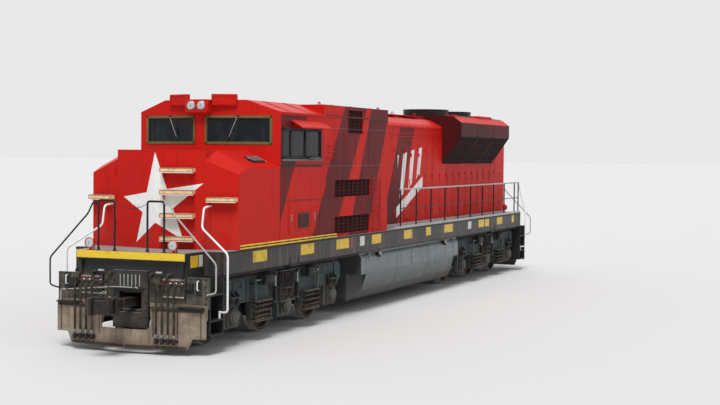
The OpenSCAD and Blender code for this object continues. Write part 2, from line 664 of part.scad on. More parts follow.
// Truck frames, drawn about the truck centre
frame_t = 110;
frame_low = axle_z + 215;
box_half = [190, 200];              // half length and half height of an axle box
leg_w = 110;
axles = [-axle_pitch, 0, axle_pitch];
beam_half_w = truck_half_w - frame_t;
module truck_frame() {
    l = truck_half_len;
    outline = [[-l, frame_low + 130], [-l + 170, frame_low], [l - 170, frame_low], [l, frame_low + 130],
        [l, bolster_top - 130], [l - 170, bolster_top - 30], [700, bolster_top - 30], [560, bolster_top],
        [-560, bolster_top], [-700, bolster_top - 30], [-l + 170, bolster_top - 30], [-l, bolster_top - 130]];
    color("darkslategray") both_sides() difference() {
        union() {
            along_y(outline, [beam_half_w, truck_half_w]);
            for (a = axles) box([a - box_half[0] - leg_w, a + box_half[0] + leg_w], [beam_half_w, truck_half_w],
                [axle_z - 190, frame_low + 20]);
        }
        for (a = axles) box([a - box_half[0], a + box_half[0]], [0, truck_half_w + 50], [0, axle_z + box_half[1]]);
    }
}
// Bolster, transoms and end beams, from side frame to side frame
module truck_beams() {
    across = [-beam_half_w, beam_half_w];
    color("darkslategray") {
        difference() {
            box([-330, 330], across, [bolster_z, bolster_top]);
            translate([0, 0, bolster_z - 50]) cylinder(d = king_pin_d + 4, h = bolster_top, $fn = 48);
        }
        for (x = [-1, 1]) {
            translate([x * (axle_pitch / 2 + 210), 0, 0])
                box([-120, 120], across, [bolster_z, bolster_top - 40]);
            translate([x * (truck_half_len - 60), 0, 0])
                box([-60, 60], across, [bolster_z - 60, bolster_top - 120]);
        }
    }
}
// Axle boxes, springs, brake cylinders, dampers and motors of one truck
module truck_gear() {
    y = truck_half_w;
    color("black") {
        for (a = axles) both_sides() difference() {
            union() {
                box([a - box_half[0] + fit, a + box_half[0] - fit], [y - frame_t - 20, y + 30],
                    [axle_z - 170, axle_z + box_half[1]]);
                translate([a, y + 60, axle_z]) rotate([90, 0, 0]) cylinder(d = 320, h = 60, $fn = 48);
            }
            translate([a, y - 10, axle_z]) rotate([90, 0, 0]) cylinder(d = journal_d + 2 * fit, h = 400, $fn = 48);
        }
        // centre springs
        both_sides() box([-300, 300], [y, y + 70], [frame_low - 120, bolster_top - 20]);
        // brake cylinders
        for (x = [-1, 1]) both_sides() translate([x * 980, 0, 0])
            box([-210, 210], [y, y + 90], [bolster_top - 230, bolster_top - 40]);
        // spring groups between the axles
        for (x = [-1, 1]) both_sides() translate([x * (axle_pitch / 2), 0, 0])
            box([-330, 330], [y - 90, y + 20], [axle_z - 170, frame_low]);
    }
    color("dimgray") for (a = axles) {
        s = a > 0 ? -1 : 1;
        translate([a + s * 560, 0, 0]) along_y([[-330, axle_z - 60], [-330, axle_z + 110], [-240, bolster_z - fit],
            [330, bolster_z - fit], [330, axle_z - 180], [-240, axle_z - 220]], [-460, 460]);
    }
}
module front_truck_frame() { translate([truck_x, 0, 0]) truck_frame(); }
module front_truck_beams() { translate([truck_x, 0, 0]) truck_beams(); }
module front_truck_gear() { translate([truck_x, 0, 0]) truck_gear(); }
module rear_truck_frame() { translate([-truck_x, 0, 0]) truck_frame(); }
module rear_truck_beams() { translate([-truck_x, 0, 0]) truck_beams(); }
module rear_truck_gear() { translate([-truck_x, 0, 0]) truck_gear(); }

// Two wheels on their axle, turned about Y
module wheelset(x) {
    back = wheel_back_gap / 2;
    plate_r = wheel_r - 75;
    // wheel section: radius and distance from the back of the rim
    section = [[80, 10], [160, 10], [190, 50], [plate_r, 20], [plate_r, 0], [wheel_r + flange_h - 6, 0],
        [wheel_r + flange_h, 10], [wheel_r + flange_h - 4, 24], [wheel_r + 3, 40], [wheel_r, rim_w],
        [plate_r, rim_w], [plate_r - 10, 60], [200, 90], [160, 150], [80, 150]];
    color("gray") translate([x, 0, axle_z]) {
        for (s = [-1, 1]) rotate([-90 * s, 0, 0]) translate([0, 0, back]) rotate_extrude($fn = 96) polygon(section);
        rotate([90, 0, 0]) cylinder(d = 200, h = 2 * back + 100, center = true, $fn = 64);
        rotate([90, 0, 0]) cylinder(d = journal_d, h = 2 * (truck_half_w - 40), center = true, $fn = 64);
    }
}
module wheelset_1() { wheelset(truck_x + axle_pitch); }
module wheelset_2() { wheelset(truck_x); }
module wheelset_3() { wheelset(truck_x - axle_pitch); }
module wheelset_4() { wheelset(-truck_x + axle_pitch); }
module wheelset_5() { wheelset(-truck_x); }
module wheelset_6() { wheelset(-truck_x - axle_pitch); }

deck_plate();
side_sills();
center_sills();
body_bolsters();
draft_pockets();
end_platforms();
plows();
corner_steps();
fuel_tank();
nose();
nose_treads();
cab();
cab_roof();
windscreens();
side_windows();
sun_visors();
number_boards();
seats();
control_desk();
cab_door();
electrical_cabinet();
engine_hood();
engine_block();
left_hood_door();
right_hood_door();
radiator_housing();
fan_shrouds();
front_fan();
rear_fan();
side_railings();
end_railings();
grab_rails();
ditch_lights();
end_hoses();
front_coupler();
front_knuckle();
rear_coupler();
rear_knuckle();
front_truck_frame();
front_truck_beams();
front_truck_gear();
rear_truck_frame();
rear_truck_beams();
rear_truck_gear();
wheelset_1();
wheelset_2();
wheelset_3();
wheelset_4();
wheelset_5();
wheelset_6();
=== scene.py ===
# %% [markdown]
# # A six-axle diesel locomotive
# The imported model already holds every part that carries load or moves: underframe, trucks, wheels, nose,
# cab, hood, doors and fans. This script gives each of them its finish and adds what a draughtsman leaves
# off a frame drawing: paint lines, seams, latches, bolts, grilles, springs, pipes, lamps and dirt.
# Places come from the frame's own boxes wherever a part follows one. The other numbers are metres in the
# same frame: X forward, Y to the left, Z up from the rail.

# %% Load the frame
import json
import math

import bmesh
import bpy
import numpy as np
from mathutils import Matrix, Vector


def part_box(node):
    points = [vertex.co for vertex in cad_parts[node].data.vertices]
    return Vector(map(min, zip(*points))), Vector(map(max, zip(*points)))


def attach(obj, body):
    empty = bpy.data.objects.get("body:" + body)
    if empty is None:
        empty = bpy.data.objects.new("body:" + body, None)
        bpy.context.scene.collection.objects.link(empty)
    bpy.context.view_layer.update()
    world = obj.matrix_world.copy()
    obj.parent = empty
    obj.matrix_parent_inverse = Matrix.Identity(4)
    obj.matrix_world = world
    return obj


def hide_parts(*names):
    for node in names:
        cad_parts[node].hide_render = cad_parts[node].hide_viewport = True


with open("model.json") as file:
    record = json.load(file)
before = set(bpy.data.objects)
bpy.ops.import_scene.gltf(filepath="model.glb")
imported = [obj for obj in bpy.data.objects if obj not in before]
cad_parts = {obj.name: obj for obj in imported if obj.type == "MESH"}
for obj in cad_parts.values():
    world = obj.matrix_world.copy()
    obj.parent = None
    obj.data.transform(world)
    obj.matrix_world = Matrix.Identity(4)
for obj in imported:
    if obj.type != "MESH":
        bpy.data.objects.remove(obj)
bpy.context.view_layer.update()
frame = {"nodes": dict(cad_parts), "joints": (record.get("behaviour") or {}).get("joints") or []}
ROOT = "locomotive"

# %% [markdown]
# ## Places
# A small record with the six limits of a node reads better than indexing corners. `Span` is built once for
# every node, so later cells can write `hood.x0` or `cab.z1`.

# %% Named limits of every node
class Span:
    """The lowest and highest X, Y and Z of a CAD node."""

    def __init__(self, node):
        low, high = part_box(node)
        self.x0, self.y0, self.z0 = low
        self.x1, self.y1, self.z1 = high


at = {name: Span(name) for name in frame["nodes"]}
hood, cab, nose, cabinet = (at[n] for n in ("engine_hood", "cab", "nose", "electrical_cabinet"))
under, tank, housing = (at[n] for n in ("deck_plate", "fuel_tank", "radiator_housing"))
DECK, SIDE, END_X = hood.z0, cab.y1, under.x1
HOOD_SIDE = -hood.y0 if abs(hood.y0) < 1.03 else 1.02      # without the door hinges
SILL_Z = at["side_sills"].z0
STEP_X = at["corner_steps"].x1 - 0.51                      # where the step wells begin
CAB_X, CAB_CREASE = at["side_windows"].x1 + 0.064, cab.x1  # the cab's front, at its sides and its middle
NOSE_CORNER, NOSE_CREASE = nose.x1 - 0.34, nose.x1
pivots = {j["name"]: Vector(j["pos_m"]) for j in frame["joints"] if "pos_m" in j}
axle_places = [pivots[f"wheelset_{i}_roll"] for i in range(1, 7)]
TRUCK_X = pivots["front_truck_swing"].x
AXLE_PITCH = axle_places[0].x - axle_places[1].x
AXLE_Z = axle_places[0].z
WHEEL_R = at["wheelset_1"].z1 - AXLE_Z - 0.028
TRUCK_SIDE = at["front_truck_frame"].y1
print("truck centre", round(TRUCK_X, 3), "axle pitch", round(AXLE_PITCH, 3), "wheel radius", round(WHEEL_R, 3))

# %% [markdown]
# ## The camera
# The camera stands ahead of the nose on the left, at about the height of the cab floor above the rail, with
# a long lens that keeps the twenty-two metres behind it from shrinking too fast.

# %% Camera
CAMERA_PLACE = Vector((30.703, 12.908, 3.564))
CAMERA_TURN, CAMERA_DIP, CAMERA_ROLL = (math.radians(a) for a in (22.532, 2.065, 0.508))


def make_camera():
    data = bpy.data.cameras.new("camera")
    data.sensor_width = 36.0
    data.lens = 67.21
    data.clip_end = 2000.0
    camera = bpy.data.objects.new("camera", data)
    bpy.context.scene.collection.objects.link(camera)
    sight = Vector((-math.cos(CAMERA_TURN) * math.cos(CAMERA_DIP),
                    -math.sin(CAMERA_TURN) * math.cos(CAMERA_DIP), -math.sin(CAMERA_DIP)))
    turn = sight.to_track_quat("-Z", "Y").to_matrix().to_4x4()
    camera.matrix_world = Matrix.Translation(CAMERA_PLACE) @ turn @ Matrix.Rotation(CAMERA_ROLL, 4, "Z")
    bpy.context.scene.camera = camera
    return camera


camera = make_camera()
print("camera at", tuple(round(v, 2) for v in camera.matrix_world.translation))

# %% [markdown]
# ## Shader maths as Python
# Procedural paint is arithmetic on positions: a band is "x between two numbers", dust is "less as z grows".
# Wiring Math nodes by hand hides that arithmetic, so `Wire` wraps a socket and lets `+ - * /`
# add the Math nodes, and `Finish` is the material that they are added to.

# %% Wires and finishes
class Wire:
    """One output socket in a finish. Arithmetic on it adds Math nodes."""

    def __init__(self, finish, socket):
        self.finish, self.socket = finish, socket

    def maths(self, operation, *others):
        settings = {"operation": operation}
        return self.finish.node("ShaderNodeMath", settings, dict(enumerate((self,) + others)))

    def __add__(self, other): return self.maths("ADD", other)
    def __sub__(self, other): return self.maths("SUBTRACT", other)
    def __mul__(self, other): return self.maths("MULTIPLY", other)
    def __truediv__(self, other): return self.maths("DIVIDE", other)
    def __rsub__(self, other): return (self * -1.0) + other
    def __rtruediv__(self, other): return self.maths("POWER", -1.0) * other
    __radd__, __rmul__ = __add__, __mul__

    def size(self): return self.maths("ABSOLUTE")
    def most(self, other): return self.maths("MAXIMUM", other)
    def cycle(self, step): return self.maths("PINGPONG", step)
    def root(self): return self.maths("SQRT")
    def nearest(self): return self.maths("ROUND")

    def rise(self, low, high):
        """0 below low, 1 above high, and a smooth step between."""
        return self.finish.node("ShaderNodeMapRange", {"interpolation_type": "SMOOTHSTEP"},
            {"Value": self, "From Min": low, "From Max": high})

    def between(self, low, high, soft=0.004):
        return self.rise(low - soft, low + soft) * (1.0 - self.rise(high - soft, high + soft))

    def grooves(self, step, width, offset=0.0):
        """1 in thin lines that repeat every step, 0 elsewhere."""
        return 1.0 - (self - offset).cycle(step / 2).rise(width * 0.3, width)


class Finish:
    """A material built from expressions. Positions are the object's own, in metres."""

    def __init__(self, name):
        self.material = bpy.data.materials.new(name)
        self.material.use_nodes = True
        self.tree = self.material.node_tree
        self.tree.nodes.clear()
        self.place = self.node("ShaderNodeTexCoord", {}, {}, "Object")
        split = self.node("ShaderNodeSeparateXYZ", {}, {0: self.place}).socket.node
        self.x, self.y, self.z = (Wire(self, split.outputs[i]) for i in range(3))

    def node(self, kind, settings, values, output=0):
        """Adds a node, sets its settings and then its input values or links."""
        made = self.tree.nodes.new(kind)
        stops = settings.pop("stops", None) if settings else None
        for key, value in settings.items():
            setattr(made, key, value)
        if stops:
            ramp = made.color_ramp
            while len(ramp.elements) < len(stops):
                ramp.elements.new(1.0)
            for element, (place, colour) in zip(ramp.elements, stops):
                element.position, element.color = place, (*colour, 1.0)
        for key, value in values.items():
            socket = made.inputs[key]
            if isinstance(value, Wire):
                self.tree.links.new(value.socket, socket)
            elif socket.type == "RGBA":
                socket.default_value = (*value, 1.0) if len(value) == 3 else value
            else:
                socket.default_value = value
        return Wire(self, made.outputs[output])

    def facing(self):
        """X, Y and Z of the surface's own direction."""
        normal = self.node("ShaderNodeTexCoord", {}, {}, "Normal")
        split = self.node("ShaderNodeSeparateXYZ", {}, {0: normal}).socket.node
        return [Wire(self, split.outputs[i]) for i in range(3)]

    def stretch(self, x, y, z):
        return self.node("ShaderNodeMapping", {}, {"Vector": self.place, "Scale": (x, y, z)})

    def cloud(self, scale, detail=3.0, rough=0.55, vector=None):
        return self.node("ShaderNodeTexNoise", {}, {"Vector": vector or self.place, "Scale": scale,
            "Detail": detail, "Roughness": rough})

    def blend(self, mask, under, over):
        """The colour under, with the colour over where the mask is 1."""
        return self.node("ShaderNodeMix", {"data_type": "RGBA"}, {0: mask, 6: under, 7: over}, 2)

    def worn_edges(self, radius, low=0.02, high=0.12):
        """1 along outside and inside corners, from how far a rounded surface would turn away there."""
        soft = self.node("ShaderNodeBevel", {"samples": 4}, {"Radius": radius})
        true = self.node("ShaderNodeNewGeometry", {}, {}, "Normal")
        dot = self.node("ShaderNodeVectorMath", {"operation": "DOT_PRODUCT"}, {0: soft, 1: true}, "Value")
        return (1.0 - dot).rise(low, high)

    def relief(self, height, distance, strength=1.0, round_edges=0.0):
        values = {"Height": height, "Distance": distance, "Strength": strength}
        if round_edges:
            values["Normal"] = self.node("ShaderNodeBevel", {"samples": 4}, {"Radius": round_edges})
        return self.node("ShaderNodeBump", {}, values)

    def done(self, colour, roughness=0.5, **extra):
        """Closes the finish with a Principled shader. extra names its other sockets, with _ for a space."""
        values = {"Base Color": colour, "Roughness": roughness, "Specular IOR Level": 0.22}
        values.update({key.replace("_", " "): value for key, value in extra.items()})
        shader = self.node("ShaderNodeBsdfPrincipled", {}, values)
        end = self.tree.nodes.new("ShaderNodeOutputMaterial")
        self.tree.links.new(shader.socket, end.inputs["Surface"])
        return self.material


print("shader helpers ready")

# %% [markdown]
# ## Weather
# Every painted steel face of a working locomotive ages the same way: rain draws dirt down in streaks, the
# ballast throws dust up from below, and corners rub through. Those three masks are worked out once per
# finish by `weather`, and each finish decides how strongly to show them.

# %% Weather masks
RED, RED_FADED = (0.56, 0.014, 0.01), (0.63, 0.03, 0.02)
MAROON = (0.115, 0.012, 0.015)
MATT = 0.06                # specular level of sun-bleached enamel
PRIMER, SOOT, DUST = (0.22, 0.1, 0.07), (0.012, 0.01, 0.01), (0.2, 0.155, 0.12)
YELLOW, WHITE, BLACK = (0.8, 0.56, 0.04), (0.88, 0.88, 0.87), (0.01, 0.01, 0.011)


def weather(finish, floor=1.8, reach=1.2):
    """Masks of rain streaks, of dust from below and of broad fading."""
    streaks = finish.cloud(1.0, 5.0, 0.65, finish.stretch(9.0, 9.0, 0.45)).rise(0.5, 0.78)
    dust = (1.0 - (finish.z - floor).rise(0.0, reach)) * finish.cloud(2.2, 4.0).rise(0.3, 0.7)
    fading = finish.cloud(0.55, 2.0).rise(0.3, 0.75)
    return streaks, dust, fading


def weathered(finish, colour, faded, floor=1.8, reach=1.2, streak=0.28, dusty=0.13, edge=0.014, chips=0.5):
    """A paint colour with fading, streaks, dust and chipped corners, and its roughness."""
    streaks, dust, fading = weather(finish, floor, reach)
    paint = finish.blend(fading * 0.4, colour, faded)
    paint = finish.blend(streaks * streak, paint, SOOT)
    paint = finish.blend(dust * dusty, paint, DUST)
    worn = finish.worn_edges(edge) * finish.cloud(14.0, 4.0, 0.7).rise(0.48, 0.62)
    paint = finish.blend(worn * chips, paint, PRIMER)
    rough = 0.34 + streaks * 0.14 + dust * 0.3
    return paint, rough


print("weather masks ready")

# %% [markdown]
# ## Red enamel with slanted shadows of dark red
# The sides carry broad bands in a darker red that lean forward at the foot. Each is a strip of
# `x + lean * height`, so one row of a table holds its two edges and its lean. Masking in the shader lets a
# band run across the cab, the cabinet and the hood without a break, which separate decals never manage.

# %% The red family
# rear edge and front edge of a band at deck level, and how far it leans forward per metre down
BANDS = [(7.62, 9.6, 0.59), (4.7, 5.95, 0.66), (2.78, 3.88, 0.46), (-0.36, 0.66, 0.48)]


def band_mask(finish):
    height = finish.z - DECK
    mask = None
    for rear, front, lean in BANDS:
        strip = (finish.x + height * lean).between(rear, front, 0.01)
        mask = strip if mask is None else mask.most(strip)
    sideways = finish.facing()[1].size().rise(0.75, 0.85)
    return mask * sideways


def bar_design(finish):
    """White bars on the hood sides: four leaning strokes over one broad rising band."""
    back, height = -0.24 - finish.x, finish.z - 1.97
    band = (height - back * 0.4).between(0.00, 0.26, 0.004) * back.between(0.06, 1.92)
    lean = back + height * -0.22
    strokes = lean.cycle(0.27).rise(0.15, 0.158) * back.between(0.12, 1.9)
    strokes = strokes * (height - back * 0.4).rise(0.396,
        0.404) * (1.0 - (height - back * 0.12).rise(1.556, 1.564))
    return band.most(strokes) * finish.facing()[1].size().rise(0.75, 0.85)


def red_finish(name, bands=False, design=False):
    finish = Finish(name)
    ground = finish.blend(band_mask(finish), RED, MAROON) if bands else RED
    if design:
        ground = finish.blend(bar_design(finish), ground, WHITE)
    paint, rough = weathered(finish, ground, finish.blend(0.35, ground, RED_FADED))
    height = finish.cloud(1.6, 2.0) * 0.6 + finish.cloud(60.0, 2.0) * 0.02
    return finish.done(paint, rough + 0.08, Specular_IOR_Level=MATT,
                       Normal=finish.relief(height, 0.006, 0.7, 0.01))


red_plain = red_finish("red_enamel")
red_sides = red_finish("red_enamel_banded", True)
red_hood = red_finish("red_enamel_hood", True, design=True)
print("red enamels ready")

# %% [markdown]
# ## The flared radiator housing
# One solid carries three finishes: the roof side is red, the cheeks are painted a dark red as shade and the
# sloped underside, where the air goes in, is black. The surface's own direction tells them apart, so no face
# needs picking.

# %% Radiator housing finish
def housing_finish():
    finish = Finish("radiator_housing_paint")
    up = finish.facing()[2]
    # faces that do not point up, the cheeks and the front, take a dark red: painted shade on the same red
    # housing
    ground = finish.blend(up.rise(0.3, 0.4), (0.05, 0.008, 0.01), RED)
    paint, rough = weathered(finish, ground, finish.blend(0.2, ground, RED_FADED), 2.9, 0.8, 0.35, 0.15)
    paint = finish.blend(1.0 - up.rise(-0.4, -0.3), paint, (0.006, 0.006, 0.006))
    return finish.done(paint, rough + 0.1, Specular_IOR_Level=MATT, Normal=finish.relief(finish.cloud(1.4, 2.0),
        0.004, 0.6, 0.01))


# %% [markdown]
# ## Frame, trucks, tank and plow
# Below the deck nothing is washed. The frame is dark grey with rust running down from every weld, the
# trucks are grey-green under brake dust, the tank is satin grey with spilt fuel and a painted sheen that makes
# it paler towards the top and darker towards the bottom, and the plow is scoured back to a brown grime. They
# share `weathered` with stronger dust and other colours.

# %% Finishes below the deck
def frame_finish():
    finish = Finish("frame_paint")
    up = finish.facing()[2].rise(0.6, 0.8)
    streaks = finish.cloud(1.0, 6.0, 0.7, finish.stretch(7.0, 7.0, 0.3)).rise(0.44, 0.7)
    pale = finish.cloud(1.3, 5.0, 0.7, finish.stretch(5.0, 5.0, 0.25)).rise(0.48, 0.7)
    paint, rough = weathered(finish, (0.024, 0.025, 0.027), (0.052, 0.05, 0.05), 1.3, 0.6, 0.2, 0.25, 0.02)
    paint = finish.blend(pale * 0.6, paint, (0.125, 0.118, 0.115))
    paint = finish.blend(streaks * 0.5, paint, (0.085, 0.04, 0.034))
    walkway = finish.blend(finish.cloud(5.0, 4.0).rise(0.35, 0.7) * 0.5, (0.33, 0.34, 0.35), (0.16, 0.15, 0.14))
    paint = finish.blend(up, paint, walkway)
    across = (finish.x + finish.y).cycle(0.03).rise(0.01, 0.014)
    along = (finish.x - finish.y).cycle(0.03).rise(0.01, 0.014)
    lozenges = (1.0 - across.most(along)) * up
    height = finish.cloud(3.0, 3.0) * 0.4 + lozenges * 0.6
    return finish.done(paint, rough.most(0.45), Normal=finish.relief(height, 0.004, 0.7, 0.008))


def truck_finish(name="truck_paint", colour=(0.04, 0.06, 0.064), faded=(0.08, 0.105, 0.108)):
    finish = Finish(name)
    paint, _ = weathered(finish, colour, faded, 0.25, 0.9, 0.3, 0.5, 0.02, 0.7)
    brake_dust = finish.cloud(3.5, 5.0, 0.7).rise(0.45, 0.75)
    paint = finish.blend(brake_dust * 0.45, paint, (0.075, 0.055, 0.042))
    oil = finish.cloud(1.7, 3.0).rise(0.6, 0.72)
    paint = finish.blend(oil * 0.6, paint, (0.01, 0.01, 0.011))
    height = finish.cloud(40.0, 4.0, 0.7) * 0.5 + finish.cloud(6.0, 3.0) * 0.5
    return finish.done(paint, 0.72 - oil * 0.35, Normal=finish.relief(height, 0.004, 0.6, 0.012))


def tank_finish():
    finish = Finish("tank_paint")
    ends = finish.facing()[0].size().rise(0.35, 0.5)
    # painted sheen: the tank's colour is painted paler towards the top and darker towards the bottom, as light
    # and shade would fall on it, with streaks along its length in that painted highlight
    highlight_streaks = finish.cloud(1.0, 5.0, 0.6, finish.stretch(0.35, 5.0, 5.0)).rise(0.4, 0.66)
    painted_sheen = finish.z.rise(0.45, 1.05) * (0.75 + highlight_streaks * 0.25)
    ground = finish.blend(painted_sheen, (0.048, 0.055, 0.058), (0.165, 0.192, 0.2))
    # the end faces, picked by their facing, take one flat grey in place of the painted sheen
    ground = finish.blend(ends, ground, (0.06, 0.062, 0.064))
    paint, rough = weathered(finish, ground, finish.blend(0.2, ground, (0.17, 0.18, 0.185)), 0.3, 0.4,
        0.25, 0.3)
    spill = finish.cloud(1.0, 4.0, 0.6, finish.stretch(1.6, 1.6, 0.25)).rise(0.55, 0.68)
    paint = finish.blend(spill * 0.35, paint, (0.018, 0.016, 0.014))
    return finish.done(paint, rough - spill * 0.12, Normal=finish.relief(finish.cloud(2.0, 3.0), 0.006,
        0.5, 0.02))


def plow_finish():
    finish = Finish("plow_grime")
    blotches = finish.cloud(2.2, 6.0, 0.7).rise(0.35, 0.68)
    paint = finish.blend(blotches, (0.2, 0.155, 0.115), (0.36, 0.29, 0.22))
    scrapes = finish.cloud(1.0, 5.0, 0.7, finish.stretch(3.0, 14.0, 1.2)).rise(0.52, 0.66)
    paint = finish.blend(scrapes * 0.6, paint, (0.1, 0.065, 0.045))
    wet = 1.0 - (finish.z + finish.cloud(3.0, 3.0) * 0.25).rise(0.2, 0.5)
    paint = finish.blend(wet * 0.7, paint, (0.055, 0.042, 0.034))
    worn = finish.worn_edges(0.02) * 0.5
    paint = finish.blend(worn, paint, (0.07, 0.045, 0.035))
    height = finish.cloud(25.0, 5.0, 0.7) * 0.4 + finish.cloud(2.5, 3.0)
    return finish.done(paint, 0.78, Normal=finish.relief(height, 0.01, 0.6, 0.008))


def cast_finish():
    finish = Finish("rusty_casting")
    rust = finish.cloud(9.0, 6.0, 0.7).rise(0.45, 0.75)
    paint = finish.blend(rust, (0.019, 0.018, 0.019), (0.06, 0.033, 0.023))
    bright = finish.worn_edges(0.012) * 0.6
    paint = finish.blend(bright, paint, (0.24, 0.22, 0.2))
    return finish.done(paint, 0.66 - bright * 0.25, Metallic=bright * 0.7,
                       Normal=finish.relief(finish.cloud(70.0, 4.0, 0.7), 0.003, 0.7, 0.006))


frame_paint, truck_paint, tank_paint, plow_paint = frame_finish(), truck_finish(), tank_finish(), plow_finish()
casting, shaded_housing_paint = cast_finish(), housing_finish()
print("finishes below the deck ready")

# %% [markdown]
# ## Wheels
# The tread is polished by the rail and the rest is brown with brake dust. What separates them is distance
# from the axle, so the finish first folds the six axle positions onto one: it takes the distance along X
# to the nearest axle, and then the radius from that.

# %% Wheel finish
def wheel_finish():
    finish = Finish("wheel_steel")
    from_truck = finish.x.size() - TRUCK_X
    nearest = (from_truck / AXLE_PITCH).nearest() * AXLE_PITCH
    along, up = from_truck - nearest, finish.z - AXLE_Z
    radius = (along * along + up * up).root()
    tread = radius.rise(WHEEL_R - 0.006, WHEEL_R - 0.002)
    paint = finish.blend(finish.cloud(8.0, 5.0, 0.7).rise(0.35, 0.7), (0.05, 0.034, 0.026),
                         (0.115, 0.075, 0.055))
    rim = radius.between(WHEEL_R - 0.075, WHEEL_R - 0.006, 0.002)
    paint = finish.blend(rim * 0.4, paint, (0.12, 0.1, 0.09))
    paint = finish.blend(tread, paint, (0.58, 0.57, 0.56))
    rings = radius.grooves(0.004, 0.0012) * tread
    return finish.done(paint, 0.7 - tread * 0.42, Metallic=tread * 0.95,
                       Normal=finish.relief(finish.cloud(50.0, 3.0) + rings * 0.3, 0.002, 0.6, 0.004))


# %% [markdown]
# ## Small finishes
# Plain enamels for rails, treads and lamps, a matte one for rubber and one for the vinyl of the seats. Each
# still varies over its surface, because an even colour is what gives a computer model away.

# %% Plain enamels, rubber, vinyl, steel
def enamel(name, colour, rough=0.42, grime=0.25, scale=9.0, **extra):
    finish = Finish(name)
    dirt = finish.cloud(scale, 4.0, 0.65).rise(0.42, 0.72)
    paint = finish.blend(dirt * grime, colour, (0.05, 0.04, 0.035))
    return finish.done(paint, rough + dirt * 0.2, Normal=finish.relief(finish.cloud(45.0, 3.0), 0.0015,
        0.5), **extra)


def rubber_finish():
    finish = Finish("dusty_rubber")
    dust = finish.cloud(6.0, 5.0, 0.7).rise(0.35, 0.7)
    paint = finish.blend(dust * 0.6, (0.014, 0.013, 0.012), (0.12, 0.085, 0.06))
    return finish.done(paint, 0.72 + dust * 0.2, Normal=finish.relief(finish.z.grooves(0.02, 0.004),
        0.001, 0.4))


def vinyl_finish():
    finish = Finish("seat_vinyl")
    grain = finish.node("ShaderNodeTexVoronoi", {"feature": "DISTANCE_TO_EDGE"},
                        {"Vector": finish.place, "Scale": 320.0})
    paint = finish.blend(finish.cloud(12.0, 3.0), (0.045, 0.038, 0.034), (0.085, 0.07, 0.06))
    return finish.done(paint, 0.5, Normal=finish.relief(grain, 0.0006, 0.6), Sheen_Weight=0.1)


def glass_finish():
    finish = Finish("cab_glass")
    smear = finish.cloud(3.0, 4.0, 0.6, finish.stretch(2.0, 2.0, 0.6)).rise(0.45, 0.75)
    paint = finish.blend(smear * 0.25, (0.006, 0.011, 0.017), (0.07, 0.075, 0.07))
    return finish.done(paint, 0.04 + smear * 0.1, Alpha=0.8 + smear * 0.12)


def lens_finish():
    finish = Finish("lamp_lens")
    ribs = finish.y.grooves(0.016, 0.006) * 0.5
    colour = finish.blend(ribs, (0.62, 0.63, 0.65), (0.25, 0.26, 0.28))
    return finish.done(colour, 0.1, Metallic=0.6, Emission_Color=(1.0, 0.97, 0.9), Emission_Strength=0.04,
                       Coat_Weight=0.8, Coat_Roughness=0.03, Normal=finish.relief(ribs, 0.003, 0.8))


def mesh_screen_finish(name, colour, hole):
    """Woven wire seen from a distance: a square grid of wires over darkness."""
    finish = Finish(name)
    wires = finish.x.grooves(0.04, 0.012).most((finish.y + finish.z).grooves(0.04, 0.012))
    dirt = finish.cloud(4.0, 4.0).rise(0.4, 0.7) * 0.4
    paint = finish.blend(wires, hole, finish.blend(dirt, colour, SOOT))
    return finish.done(paint, 0.75, Metallic=wires * 0.15, Specular_IOR_Level=0.04, Normal=finish.relief(wires,
        0.006, 0.8))


wheel_steel, glass, lens, vinyl = wheel_finish(), glass_finish(), lens_finish(), vinyl_finish()
rubber = rubber_finish()
black_paint = enamel("black_paint", BLACK, 0.38)
black_trim = enamel("black_trim", (0.02, 0.02, 0.021), 0.55, 0.4)
white_paint = enamel("white_paint", WHITE, 0.36, 0.1, 5.0)
rail_grey = enamel("rail_grey", (0.42, 0.42, 0.41), 0.4, 0.3)
yellow_paint = enamel("yellow_paint", YELLOW, 0.4, 0.42, 5.0)
tread_cream = enamel("tread_cream", (0.86, 0.62, 0.33), 0.5, 0.35, 14.0)
tread_orange = enamel("tread_orange", (0.55, 0.2, 0.06), 0.55, 0.35, 14.0)
olive_trim = enamel("olive_window_frame", (0.15, 0.125, 0.04), 0.45, 0.3)
grey_trim = enamel("grey_window_frame", (0.13, 0.135, 0.14), 0.4, 0.3)
bare_steel = enamel("bare_steel", (0.3, 0.29, 0.28), 0.35, 0.4, 20.0, Metallic=0.85)
chrome = enamel("lamp_reflector", (0.75, 0.75, 0.76), 0.12, 0.05, 20.0, Metallic=1.0)
engine_grey = enamel("engine_enamel", (0.17, 0.19, 0.2), 0.5, 0.5, 3.0)
patch_yellow = enamel("reflective_yellow", (0.72, 0.47, 0.03), 0.3, 0.35, 6.0)
patch_white = enamel("reflective_white", (0.62, 0.63, 0.6), 0.3, 0.3, 6.0)
patch_red = enamel("reflective_red", (0.45, 0.05, 0.02), 0.3, 0.3, 6.0)
red_trim = enamel("red_trim", (0.54, 0.014, 0.01), 0.45, 0.12, Specular_IOR_Level=0.08)
dark_red = enamel("dark_red_trim", (0.075, 0.008, 0.009), 0.45, 0.3)
plow_dark = enamel("plow_edge_grime", (0.055, 0.042, 0.033), 0.75, 0.5, 7.0)
dark_screen = mesh_screen_finish("dark_screen", (0.05, 0.013, 0.014), (0.01, 0.004, 0.004))
grey_screen = mesh_screen_finish("grey_screen", (0.3, 0.3, 0.29), (0.06, 0.06, 0.06))
print(len(bpy.data.materials), "finishes in all")

